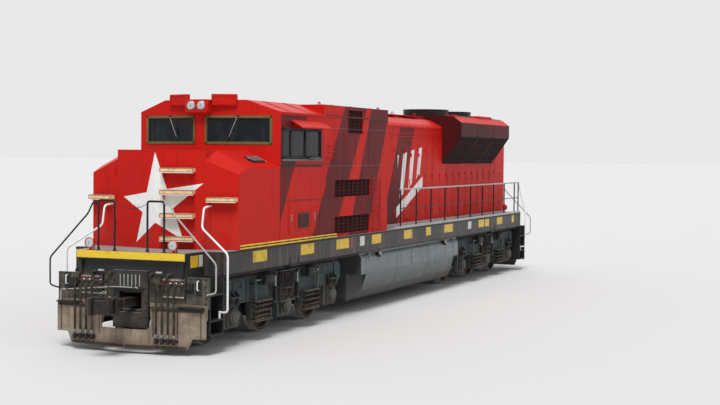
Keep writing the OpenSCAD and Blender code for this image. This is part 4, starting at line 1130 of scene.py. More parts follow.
hoses = Build(rubber)
for end in (1, -1):
    for side in (1, -1):
        p = corner(end, side)
        for i, y in enumerate((0.66, 0.78, 0.9, 1.02)):
            hoses.paint(bare_steel).turned([(0.038, 0), (0.038, 0.02), (0.028, 0.03), (0.028, 0.06)],
                p(END_X, y, 1.24), (end, 0, 0), 18)
            hoses.paint(red_trim).block(p(END_X + 0.03, y - 0.006, 1.26), p(END_X + 0.045, y + 0.006,
                1.33), 0.002)
            hose(hoses, [p(END_X + 0.05, y, 1.24), p(END_X + 0.275, y, 1.24), p(END_X + 0.28, y, 0.32)], 0.021)
            hoses.paint(casting).turned([(0.03, 0), (0.036, 0.012), (0.036, 0.07), (0.022, 0.12)],
                p(END_X + 0.28, y, 0.212), "z", 18)
            lead = END_X + 0.27 - y * 0.21 / SIDE
            hoses.paint(black_trim).block(p(lead, y - 0.012, 0.232), p(END_X + 0.25, y + 0.012, 0.288), 0.003)
        loop = [p(END_X + 0.05, 0.6 + 0.18 * math.cos(t), 1.4 - 0.19 * math.sin(t))
                for t in np.linspace(0, math.pi, 25)]
        loop = [p(END_X + 0.02, 0.78, 1.4)] + [(q[0] + end * 0.045, q[1], q[2])
            for q in loop] + [p(END_X + 0.02, 0.42, 1.4)]
        hoses.paint(rubber).pipe(loop, 0.026, 14)
        for y in (0.42, 0.78):
            hoses.paint(casting).turned([(0.045, 0), (0.045, 0.018), (0.033, 0.026), (0.033, 0.075)],
                p(END_X, y, 1.4), (end, 0, 0), 20)
        hoses.paint(rail_grey).block(p(END_X + 0.05, 0.66, 1.428), p(END_X + 0.09, 0.54, 1.46), 0.003)
hoses.done("end_hoses_detail", "hose_rubber", replaces="end_hoses")

pilot = Build(black_trim)
for end in (1, -1):
    for side in (1, -1):
        p = corner(end, side)
        block = lambda a, b, ease=0.004: pilot.block(p(*a), p(*b), ease)
        pilot.paint(black_trim)
        block((END_X, 1.02, 0.835), (END_X + 0.16, 1.5, 0.865))
        block((END_X, 0.42, 0.8), (END_X + 0.09, 1.02, 0.83))
        for y in (1.06, 1.46):
            pilot.plate([p(END_X, y, 0.835), p(END_X + 0.15, y, 0.835), p(END_X, y, 0.7)], (0, side * 0.01, 0))
        pilot.paint(rail_grey)
        block((END_X + 0.002, 0.62, 1.005), (END_X + 0.04, 1.1, 1.03))
        block((END_X + 0.002, 0.62, 1.305), (END_X + 0.012, 1.08, 1.33))
        pilot.paint(casting)
        for y in (0.6, 1.1):
            block((END_X, y - 0.012, 0.97), (END_X + 0.05, y + 0.012, 1.36))
        # jumper cable receptacle, and the lift rod that opens the coupler from the side
        pilot.paint(black_trim)
        block((END_X, 1.14, 1.1), (END_X + 0.07, 1.26, 1.28), 0.012)
        pilot.turned([(0.045, 0), (0.052, 0.01), (0.05, 0.035), (0.02, 0.042)], p(END_X + 0.068, 1.2, 1.19),
                     (end, 0, 0), 20)
    pilot.paint(rail_grey).pipe([(end * (END_X + 0.1), -1.44, 0.86), (end * (END_X + 0.1), -1.44, 1.06),
        (end * (END_X + 0.1), -0.3, 1.16), (end * (END_X + 0.1), 0.18, 1.16), (end * (END_X + 0.12), 0.18,
            1.13)], 0.011, 10, 0.04)
    for y in (-1.3, -0.42, 0.1):
        z = 1.06 + (y + 1.44) * 0.1 / 1.14 if y < -0.3 else 1.16
        pilot.paint(casting).block((end * END_X, y - 0.012, z - 0.03), (end * (END_X + 0.125), y + 0.012,
            z + 0.03), 0.003)
    # the coupler pocket's face, with a ribbed step above it
    pilot.paint(black_trim)
    pilot.block((end * (END_X + 0.06), -0.3, 1.13), (end * (END_X + 0.13), 0.3, 1.15), 0.004)
    for i in range(6):
        y = -0.2 + i * 0.08
        pilot.paint(rail_grey).block((end * (END_X + 0.061), y - 0.008, 1.17),
            (end * (END_X + 0.075), y + 0.008, 1.39), 0.002)
pilot.done("pilot_fittings", "black_paint")

bolts = bolt_template(0.013)
spots = []
for end in (1, -1):
    for y in (-0.33, 0.33):
        for z in np.linspace(0.5, 1.4, 8):
            spots.append(((end * (END_X + 0.06), y, z), (end, 0, 0)))
    for side in (1, -1):
        for z in (0.92, 1.02, 1.12, 1.22, 1.34):
            for y in (0.5, 1.5):
                spots.append(((end * END_X, side * y, z), (end, 0, 0)))
        for y in np.linspace(0.15, 1.05, 7):
            spots.append(((end * (END_X + 0.08), side * y, DECK - 0.148), (end, 0, 0)))
repeat("end_plate_bolts", bolts, spots, black_trim)
print("pilot ready")

# %% [markdown]
# # The cab and cabinet sides
# Seams, doors, louvres and grilles are what give the flat red sides their scale. All are built as thin
# raised shapes rather than bump in the finish, so they are in the mesh from every side.

# %% Cab side
def louvres(build, low, high, side, count, depth=0.016):
    """A column of pressed slats between two corners, standing out from a side wall."""
    step = (high[2] - low[2]) / count
    for i in range(count):
        z = low[2] + (i + 0.25) * step
        y = low[1]
        build.plate([(low[0], y, z), (low[0], y, z + step * 0.55), (low[0], y + side * depth, z + step * 0.08)],
                    (high[0] - low[0], 0, 0))


def side_box(build, x0, x1, y, out, z0, z1, side, ease=0.003):
    build.block((x0, side * y, z0), (x1, side * (y + out), z1), ease)


def frame_strip(build, x0, x1, z0, z1, y, out, side, w):
    """A raised rectangular frame on a side wall."""
    for a, b, c, d in ((x0, x1, z0, z0 + w), (x0, x1, z1 - w, z1), (x0, x0 + w, z0 + w, z1 - w),
                       (x1 - w, x1, z0 + w, z1 - w)):
        side_box(build, a, b, y, out, c, d, side, 0.002)


cab_side = Build(red_sides)
for side in (1, -1):
    cab_side.paint(red_sides)
    side_box(cab_side, 5.66, 7.00, SIDE, 0.01, 1.962, 2.606, side, 0.006)
    frame_strip(cab_side, 5.92, 6.7, 2.04, 2.44, SIDE + 0.01, 0.005, side, 0.02)
    cab_side.paint(dark_red)
    side_box(cab_side, 6.04, 6.585, SIDE + 0.01, 0.004, 2.083, 2.388, side)
    louvres(cab_side, (6.06, side * (SIDE + 0.013), 2.095), (6.565, 0, 2.376), side, 9, 0.014)
    cab_side.paint(black_trim)
    for z in (2.634, 3.334):
        side_box(cab_side, cab.x0 + 0.02, CAB_X - 0.01, SIDE, 0.005, z, z + 0.01, side, 0.001)
    side_box(cab_side, 5.4, 7.32, SIDE, 0.007, 3.3, 3.345, side, 0.002)
    cab_side.paint(bare_steel)
    for x in (5.78, 6.88):
        side_box(cab_side, x - 0.02, x + 0.02, SIDE + 0.01, 0.01, 2.22, 2.36, side, 0.004)
    cab_side.paint(red_sides)
    for x in (5.7, 6.92):
        for z in (2.05, 2.49):
            cab_side.pipe([(x, side * (SIDE + 0.014), z - 0.04), (x, side * (SIDE + 0.014),
                z + 0.04)], 0.01, 10)
    # yellow double step ledge, with a dark channel between its two lips
    cab_side.paint(yellow_paint)
    for z in (DECK + 0.012, DECK + 0.062):
        side_box(cab_side, cab.x0 - 0.08, NOSE_CORNER - 0.04, SIDE, 0.022, z, z + 0.026, side, 0.004)
    cab_side.paint(black_trim)
    side_box(cab_side, cab.x0 - 0.08, NOSE_CORNER - 0.04, SIDE, 0.008, DECK + 0.036, DECK + 0.064, side, 0.002)
    # vertical seams between nose, cab and cabinet
    side_box(cab_side, CAB_X - 0.006, CAB_X + 0.006, SIDE, 0.004, DECK + 0.09, 3.3, side, 0.001)
    side_box(cab_side, 5.5, 5.506, SIDE, 0.003, 1.92, 2.63, side, 0.001)
cab_side.done("cab_side_lockers", "red_paint")

# %% Cabinet side
CAB_Y = cabinet.y1
panel = Build(red_sides)
panel.paint(grey_trim)
for z in (3.308, 4.098):
    side_box(panel, CABINET_REAR + 0.02, cabinet.x1, CAB_Y, 0.004, z, z + 0.007, 1, 0.001)
panel.paint(dark_red)
for x in (4.65, 3.525, 2.775):
    side_box(panel, x, x + 0.008, CAB_Y, 0.004, 3.32, 4.05, 1, 0.001)
side_box(panel, CABINET_REAR + 0.01, cabinet.x1, CAB_Y, 0.012, 4.34, 4.37, 1, 0.002)
# screens sunk in the CAD recesses, each behind flat bars
for x0, x1, z0, z1, screen in ((2.65, 4.65, 2.64, 3.01, dark_screen), (2.67, 4.65, DECK + 0.06, 2.23,
    dark_screen), (3.11, 3.95, 4.01, 4.51, dark_screen)):
    panel.paint(screen).box((x0 + 0.002, CAB_Y - 0.036, z0 + 0.002), (x1 - 0.002, CAB_Y - 0.026,
        z1 - 0.002), 0.001)
    panel.paint(red_sides)
    frame_strip(panel, x0 - 0.02, x1 + 0.02, z0 - 0.02, z1 + 0.02, CAB_Y, 0.006, 1, 0.024)
    panel.paint(dark_red)
    for x in np.arange(x0 + 0.25, x1 - 0.1, 0.25):
        panel.box((x - 0.006, CAB_Y - 0.024, z0), (x + 0.006, CAB_Y - 0.006, z1), 0.001)
    for z in np.arange(z0 + 0.07, z1 - 0.03, 0.07):
        panel.box((x0, CAB_Y - 0.026, z - 0.003), (x1, CAB_Y - 0.02, z + 0.003), 0.001)
panel.paint(red_sides)
frame_strip(panel, 2.03, 2.55, DECK + 0.03, 3.06, CAB_Y, 0.007, 1, 0.018)
for i in range(7):
    z = DECK + 0.06 + i * 0.171
    louvres(panel, (2.06, CAB_Y + 0.002, z), (2.53, 0, z + 0.15), 1, 3, 0.018)
    panel.paint(dark_red)
    side_box(panel, 2.052, 2.53, CAB_Y, 0.003, z + 0.151, z + 0.166, 1, 0.001)
    panel.paint(red_sides)
for z in (3.44, 3.56, 3.69):
    louvres(panel, (4.66, CAB_Y, z), (5.07, 0, z + 0.075), 1, 2, 0.014)
# right side: one tall screen in its recess, then the louvred doors
panel.paint(dark_screen).box((CABINET_REAR + 0.702, -HOOD_SIDE + 0.026, 2.702),
    (cabinet.x1 - 0.902, -HOOD_SIDE + 0.036, 3.898), 0.001)
panel.paint(red_sides)
frame_strip(panel, CABINET_REAR + 0.68, cabinet.x1 - 0.88, 2.68, 3.92, HOOD_SIDE, 0.006, -1, 0.024)
for x in np.arange(CABINET_REAR + 0.95, cabinet.x1 - 1.0, 0.25):
    panel.box((x - 0.006, -HOOD_SIDE + 0.004, 2.7), (x + 0.006, -HOOD_SIDE + 0.024, 3.9), 0.001)
for x in (CABINET_REAR + 0.1, cabinet.x1 - 0.5):
    for i in range(5):
        louvres(panel, (x, -HOOD_SIDE - 0.002, 1.98 + i * 0.13), (x + 0.4, 0, 2.09 + i * 0.13), -1, 2, 0.016)
# roof seams and lifting eyes on the cabinet
panel.paint(red_sides)
for x in (2.6, 3.7, 4.7):
    panel.box((x - 0.02, -HOOD_SIDE + 0.03, cabinet.z1), (x + 0.02, CAB_Y - 0.03, cabinet.z1 + 0.01), 0.003)
for x in (1.75, 5.05):
    for y in (-0.85, 1.32):
        panel.pipe([(x - 0.05, y, cabinet.z1 - 0.005), (x - 0.05, y, cabinet.z1 + 0.05),
                    (x + 0.05, y, cabinet.z1 + 0.05), (x + 0.05, y, cabinet.z1 - 0.005)], 0.012, 10, 0.03)
panel.outward().done("cabinet_grilles_and_louvres", "red_paint")

# %% [markdown]
# # The hood
# Two rows of access doors run the length of the hood. One leaf on each side is hinged in the model and rides
# on its own body; the rest are drawn shut, with pressed edges, hinges and latches.

# %% Hood doors, hinges and latches
LEAF = at["left_hood_door"]
DOOR_Z0, DOOR_Z1 = 1.93, 3.9


def template(name, fill):
    made = Build(red_trim)
    fill(made)
    return made.object(name)


latch = template("latch_template", lambda b: b.box((-0.022, -0.055, 0), (0.022, 0.055, 0.006), 0.002)
                 .paint(bare_steel).box((-0.008, -0.035, 0.004), (0.008, 0.03, 0.02), 0.004))
hinge = template("hinge_template", lambda b: b.pipe([(0, -0.05, 0.006), (0, 0.05, 0.006)], 0.01, 10)
                 .box((-0.05, -0.04, 0), (0.05, 0.04, 0.005), 0.002))
doors = Build(red_hood)
latches, hinges = [], []
door_edges = [1.5 - i * 0.56 for i in range(20)]
for side in (1, -1):
    for x1 in door_edges:
        x0 = x1 - 0.54
        if x0 < hood.x0 + 0.1 or (x0 < LEAF.x1 + 0.08 and x1 > LEAF.x0 - 0.04):
            continue
        top = 3.26 if housing.x0 <= x1 <= housing.x1 else DOOR_Z1
        side_box(doors, x0, x1, HOOD_SIDE, 0.005, DOOR_Z0, top, side, 0.004)
        for z in (2.12, (2.12 + top) / 2, top - 0.22):
            latches.append(((x0 + 0.05, side * (HOOD_SIDE + 0.005), z), (0, side, 0)))
        for z in (2.25, top - 0.35):
            hinges.append(((x1 - 0.006, side * (HOOD_SIDE + 0.004), z), (0, side, 0)))
for side in (1, -1):
    doors.paint(red_trim)
    for x0, x1 in ((housing.x1 + 0.03, CABINET_REAR - 0.02), (hood.x0 + 0.02, housing.x0 - 0.03)):
        side_box(doors, x0, x1, HOOD_SIDE, 0.008, 4.005, 4.02, side, 0.002)
        side_box(doors, x0, x1, HOOD_SIDE, 0.01, 4.075, 4.09, side, 0.002)
        side_box(doors, x0, x1, HOOD_SIDE, 0.014, 4.238, 4.262, side, 0.003)
    for x in (-3.16, -3.475):
        side_box(doors, x, x + 0.012, HOOD_SIDE, 0.007, 3.94, 4.23, side, 0.002)
    # light grey toe board along the foot of the hood
    doors.paint(rail_grey)
    side_box(doors, hood.x0, CABINET_REAR - 0.36, HOOD_SIDE, 0.012, DECK + 0.004, DECK + 0.055, side, 0.003)
    side_box(doors, -STEP_X + 0.02, CABINET_REAR - 0.35, SIDE - 0.012, 0.01, DECK, DECK + 0.06, side, 0.003)
doors.done("hood_access_doors", "red_paint")
repeat("hood_latches", latch, latches, red_trim)
repeat("hood_hinges", hinge, hinges, red_trim)

for side, body in ((1, "left_hood_door"), (-1, "right_hood_door")):
    leaf = Build(red_hood)
    face = 1.0252              # the leaf's outer face
    side_box(leaf, LEAF.x0 + 0.01, LEAF.x1 - 0.03, face - 0.0002, 0.003, LEAF.z0 + 0.03, LEAF.z1 - 0.03,
             side, 0.002)
    for i in range(8):
        louvres(leaf, (LEAF.x0 + 0.09, side * (face + 0.002), 2.15 + i * 0.075),
                (LEAF.x1 - 0.09, 0, 2.21 + i * 0.075), side, 1, 0.012)
    leaf.outward().done(f"{body}_panel", "red_paint", body)

# %% Hood roof
ROOF = hood.z1
roof = Build(red_trim)


def on_roof(build, x0, x1, half, rise):
    """A hatch that follows the shallow crown of the hood roof."""
    build.plate([(x0, -half, ROOF - half * 0.05), (x0, 0, ROOF + 0.001), (x0, half, ROOF - half * 0.05),
                 (x0, half, ROOF - half * 0.05 + rise), (x0, 0, ROOF + rise),
                 (x0, -half, ROOF - half * 0.05 + rise)], (x1 - x0, 0, 0))


for x0, x1 in ((-0.1, 1.4), (-1.75, -0.25), (-3.4, -1.9)):
    on_roof(roof, x0, x1, 0.6, 0.022)
    for y in (-0.4, 0.4):
        roof.pipe([(x0 + 0.12, y, ROOF), (x0 + 0.12, y, ROOF + 0.06), (x0 + 0.26, y, ROOF + 0.06),
                   (x0 + 0.26, y, ROOF)], 0.01, 8, 0.03)
for x in np.arange(-3.2, 1.4, 0.5):
    for side in (1, -1):
        roof.block((x - 0.006, side * 0.98, 4.3), (x + 0.006, side * 1.012, 4.32), 0.001)
on_roof(roof, hood.x0 + 0.1, housing.x0 - 0.1, 0.55, 0.02)
roof.outward().done("hood_roof_hatches", "red_paint")

# %% [markdown]
# ## Radiator and fans
# Air enters through screens under the flares and leaves through two fans on top. Each fan stands in a shroud
# under a guard of rings and spokes; the fan itself turns, so the guard rides on the hood and not on it.

# %% Radiator
FLARE_TOP, FLARE_Z0, FLARE_Z1 = housing.z1, 3.313, 4.078       # the flare's slope runs from Z0 to Z1
slope = Vector((0, SIDE - HOOD_SIDE, FLARE_Z1 - FLARE_Z0)).normalized()
reach = math.hypot(SIDE - HOOD_SIDE, FLARE_Z1 - FLARE_Z0)


def strip(start, way, x0, x1, low, high):
    """A rectangle on a slope: X from x0 to x1, and from low to high along the way."""
    return [start + way * d + Vector((x, 0, 0)) for x, d in ((x0, low), (x0, high), (x1, high), (x1, low))]


rad = Build(grey_screen)
for side in (1, -1):
    out = Vector((0, side * slope.z, -slope.y))
    start, way = Vector((0, side * HOOD_SIDE, FLARE_Z0)), Vector((0, side * slope.y, slope.z))
    for x0, x1 in ((-8.2, -6.76), (-6.7, -5.26), (-5.2, -3.76)):
        rad.paint(dark_screen)
        rad.plate([c + out * 0.001 for c in strip(start, way, x0, x1, 0.05, reach - 0.05)], out * 0.008)
        rad.paint(black_trim)
        for x in (x0, x1):
            rad.plate(strip(start, way, x - 0.012, x + 0.012, 0.02, reach - 0.02), out * 0.016)
        for i in range(1, 12):
            d = 0.05 + (reach - 0.1) * i / 12
            rad.plate(strip(start, way, x0, x1, d, d + 0.006), out * 0.018)
    # outlet screens on the top bevel, and the raised red box between them
    a, b = Vector((0, side * (SIDE - 0.2), 4.6)), Vector((0, side * HOOD_SIDE, FLARE_TOP))
    up = Vector((0, side * abs(b.z - a.z), abs(SIDE - 0.2 - HOOD_SIDE))).normalized()
    for x0, x1 in ((-5.55, -4.05), (-8.1, -7.35)):
        rad.paint(grey_screen).plate(strip(a, b - a, x0, x1, 0.08, 0.95), up * 0.012)
    rad.paint(red_trim).block((-7.2, side * 1.05, 4.6), (-6.00, side * 1.34, 4.672), 0.012)
    rad.block((-4.02, side * 1.1, 4.6), (-3.8, side * 1.34, 4.64), 0.008)
    for x in (housing.x0 + 0.04, -6.72, -5.22, housing.x1 - 0.04):
        rad.paint(dark_red).block((x - 0.012, side * SIDE, 4.09), (x + 0.012, side * (SIDE + 0.006),
            4.43), 0.002)
rad.outward().done("radiator_screens", "black_paint")

guards = Build(black_paint)
SHROUD_TOP, SHROUD_R = at["fan_shrouds"].z1, 0.64
for name in ("front_fan", "rear_fan"):
    x = pivots[f"{name}_spin"].x
    for radius in (0.12, 0.22, 0.32, 0.42, 0.52, 0.6):
        ring = [(x + radius * math.cos(t), radius * math.sin(t), SHROUD_TOP - 0.012 + 0.004 * (radius < 0.5))
                for t in np.linspace(0, 2 * math.pi, 49)[:-1]]
        guards.pipe(ring, 0.004, 6, closed=True)
    for k in range(12):
        t = k * math.pi / 6
        guards.pipe([(x + r * math.cos(t), r * math.sin(t), SHROUD_TOP - drop)
                     for r, drop in ((0.1, 0.004), (0.63, 0.012))], 0.006, 6)
    guards.turned([(0.12, SHROUD_TOP - 0.02), (0.12, SHROUD_TOP - 0.008), (0.08, SHROUD_TOP - 0.002)],
                  (x, 0, 0), "z", 32)
    guards.turned([(SHROUD_R + 0.012, SHROUD_TOP - 0.022), (SHROUD_R + 0.012, SHROUD_TOP - 0.006),
                   (SHROUD_R + 0.001, SHROUD_TOP - 0.001), (SHROUD_R - 0.004, SHROUD_TOP - 0.004),
                   (SHROUD_R - 0.002, SHROUD_TOP - 0.022)], (x, 0, 0), "z", 96)
    guards.turned([(SHROUD_R + 0.05, FLARE_TOP + 0.0005), (SHROUD_R + 0.05, FLARE_TOP + 0.012),
                   (SHROUD_R + 0.004, FLARE_TOP + 0.014), (SHROUD_R + 0.004, FLARE_TOP + 0.0005)],
                  (x, 0, 0), "z", 96)
guards.done("fan_guards", "black_paint")
ring = [(pivots[f"{n}_spin"].x + (SHROUD_R + 0.028) * math.cos(t), (SHROUD_R + 0.028) * math.sin(t),
         FLARE_TOP + 0.013) for n in ("front_fan", "rear_fan") for t in np.linspace(0, 2 * math.pi, 25)[:-1]]
repeat("shroud_bolts", bolts, [(place, (0, 0, 1)) for place in ring], black_trim)
print("hood ready")

# %% [markdown]
# # Frame, tank and piping
# Reflective patches run along the sill at uneven steps, as tape put on by hand does. Below them hang the
# piping, the jacking pads and the fuel tank with its fillers, gauge and straps.

# %% Sill patches and frame fittings
PATCHES = [(9.83, 10.1, 1), (9.66, 9.8, 2), (7.92, 8.5, 1), (5.78, 6.41, 1), (3.95, 4.63, 1), (3.76, 3.82, 3),
           (3.07, 3.33, 2), (2.07, 2.63, 1), (0.02, 0.58, 1), (-1.34, -0.98, 1), (-3.1, -2.37, 1),
           (-4.67, -4.38, 2), (-5.85, -5.33, 1), (-6.33, -5.95, 1), (-7.64, -7.11, 1), (-8.89, -8.66, 1),
           (-10.14, -9.7, 1)]
WELL_WALL = 1.15                 # the inner wall of the corner steps
TAPES = {1: patch_yellow, 2: patch_white, 3: patch_red}
sill = Build(patch_yellow)
for side in (1, -1):
    for x0, x1, kind in PATCHES:
        over_well = abs(x0) > STEP_X or abs(x1) > STEP_X
        sill.paint(TAPES[kind])
        side_box(sill, x0, x1, WELL_WALL if over_well else SIDE, 0.0022, 1.535, 1.745, side, 0.0007)
    # bottom flange, top angle and weld beads of the sill
    sill.paint(black_trim)
    side_box(sill, -STEP_X, STEP_X, SIDE - 0.05, 0.062, SILL_Z, SILL_Z + 0.016, side, 0.003)
    side_box(sill, -STEP_X, STEP_X, SIDE, 0.01, DECK - 0.03, DECK - 0.004, side, 0.003)
    for x in (-TRUCK_X, TRUCK_X):
        side_box(sill, x - 0.22, x + 0.22, SIDE - 0.14, 0.16, SILL_Z - 0.03, SILL_Z + 0.002, side, 0.006)
        for dx in (-0.21, 0.19):
            sill.plate([(x + dx, side * SIDE, SILL_Z), (x + dx, side * SIDE, SILL_Z + 0.22),
                        (x + dx, side * (SIDE + 0.018), SILL_Z)], (0.02, 0, 0))
sill.outward().done("sill_patches_and_flanges", "frame_paint")

pipes = Build(black_trim)
for side in (1, -1):
    pipes.paint(black_trim)
    for z, y, r in ((SILL_Z - 0.035, SIDE - 0.1, 0.021), (SILL_Z - 0.03, SIDE - 0.17, 0.016)):
        for end in (1, -1):
            pipes.pipe([(end * (STEP_X - 0.1), side * y, z), (end * (TRUCK_X + 0.3), side * y, z)], r, 12)
            pipes.pipe([(end * (TRUCK_X - 0.3), side * y, z), (3.23 if end > 0 else -3.62, side * y, z)], r, 12)
    pipes.paint(casting)
    for x in (9.2, 8.4, 7.6, 5.6, 4.6, 3.7, -4.2, -5.2, -7.7, -8.6, -9.3):
        side_box(pipes, x - 0.015, x + 0.015, SIDE - 0.2, 0.13, SILL_Z - 0.062, SILL_Z + 0.001, side, 0.003)
pipes.done("under_sill_piping", "frame_paint")

tanks = Build(bare_steel)
TANK_SIDE, MID_X = tank.y1, (tank.x0 + tank.x1) / 2
for side in (1, -1):
    tanks.paint(tank_paint)
    for x in (tank.x0 + 0.35, MID_X - 1.1, MID_X + 1.1, tank.x1 - 0.35):        # weld bands round the tank
        section = [(TANK_SIDE - 0.345, 0.288), (TANK_SIDE - 0.112, 0.52), (TANK_SIDE, 0.9), (TANK_SIDE, 1.24),
                   (TANK_SIDE - 0.06, 1.316)]
        for (y0, z0), (y1, z1) in zip(section, section[1:]):
            out = Vector((0, side * (z1 - z0), -(y1 - y0))).normalized() * 0.004
            tanks.plate([(x, side * y0, z0), (x, side * y1, z1), (x + 0.07, side * y1, z1),
                         (x + 0.07, side * y0, z0)], out)
    for x in (MID_X - 2.2, MID_X + 2.4):                                          # fillers
        tanks.paint(casting).turned([(0.06, -0.02), (0.06, 0.045), (0.075, 0.05), (0.075, 0.08), (0.06, 0.09)],
            (x, side * (TANK_SIDE - 0.025), 1.27), (0, side, 0.35), 24)
        tanks.paint(bare_steel).turned([(0.052, 0.088), (0.048, 0.1), (0.02, 0.104)],
            (x, side * (TANK_SIDE - 0.025), 1.27), (0, side, 0.35), 24)
    tanks.paint(grey_trim)                                                        # sight gauge
    side_box(tanks, MID_X + 0.1, MID_X + 0.16, TANK_SIDE, 0.014, 0.92, 1.22, side, 0.003)
    tanks.paint(patch_white)
    side_box(tanks, MID_X + 0.118, MID_X + 0.142, TANK_SIDE + 0.012, 0.004, 0.95, 1.19, side, 0.001)
    tanks.paint(bare_steel)
    for x in (MID_X - 2.95, MID_X + 2.95):                                        # vents
        tanks.pipe([(x, side * (TANK_SIDE - 0.1), 1.33), (x, side * (TANK_SIDE + 0.02), 1.33),
                    (x, side * (TANK_SIDE + 0.02), 1.2)], 0.014, 10, 0.04)
tanks.paint(casting)
for x in (MID_X - 1.5, MID_X + 1.5):
    tanks.turned([(0.05, 0.29), (0.05, 0.265), (0.03, 0.255)], (x, 0.3, 0), "z", 6)
tanks.outward().done("fuel_tank_fittings", "tank_paint")

# %% [markdown]
# # Trucks
# The CAD gives the truck its frames, axle boxes, motors and brake cylinders as plain castings. Coil springs,
# bearing caps, dampers, brake hangers and sand pipes are added as one piece per truck that swings with it.

# %% Truck details
FRAME_LOW = AXLE_Z + 0.215


def coil(build, x, y, z0, z1, radius, wire, turns):
    """A compression spring with flattened ends."""
    steps = int(turns * 16)
    path = []
    for i in range(steps + 1):
        t = i / steps
        rise = z0 + wire + (z1 - z0 - 2 * wire) * min(max((t * turns - 0.6) / (turns - 1.2), 0.0), 1.0)
        path.append((x + radius * math.cos(2 * math.pi * t * turns),
                     y + radius * math.sin(2 * math.pi * t * turns), rise))
    build.pipe(path, wire, 8)


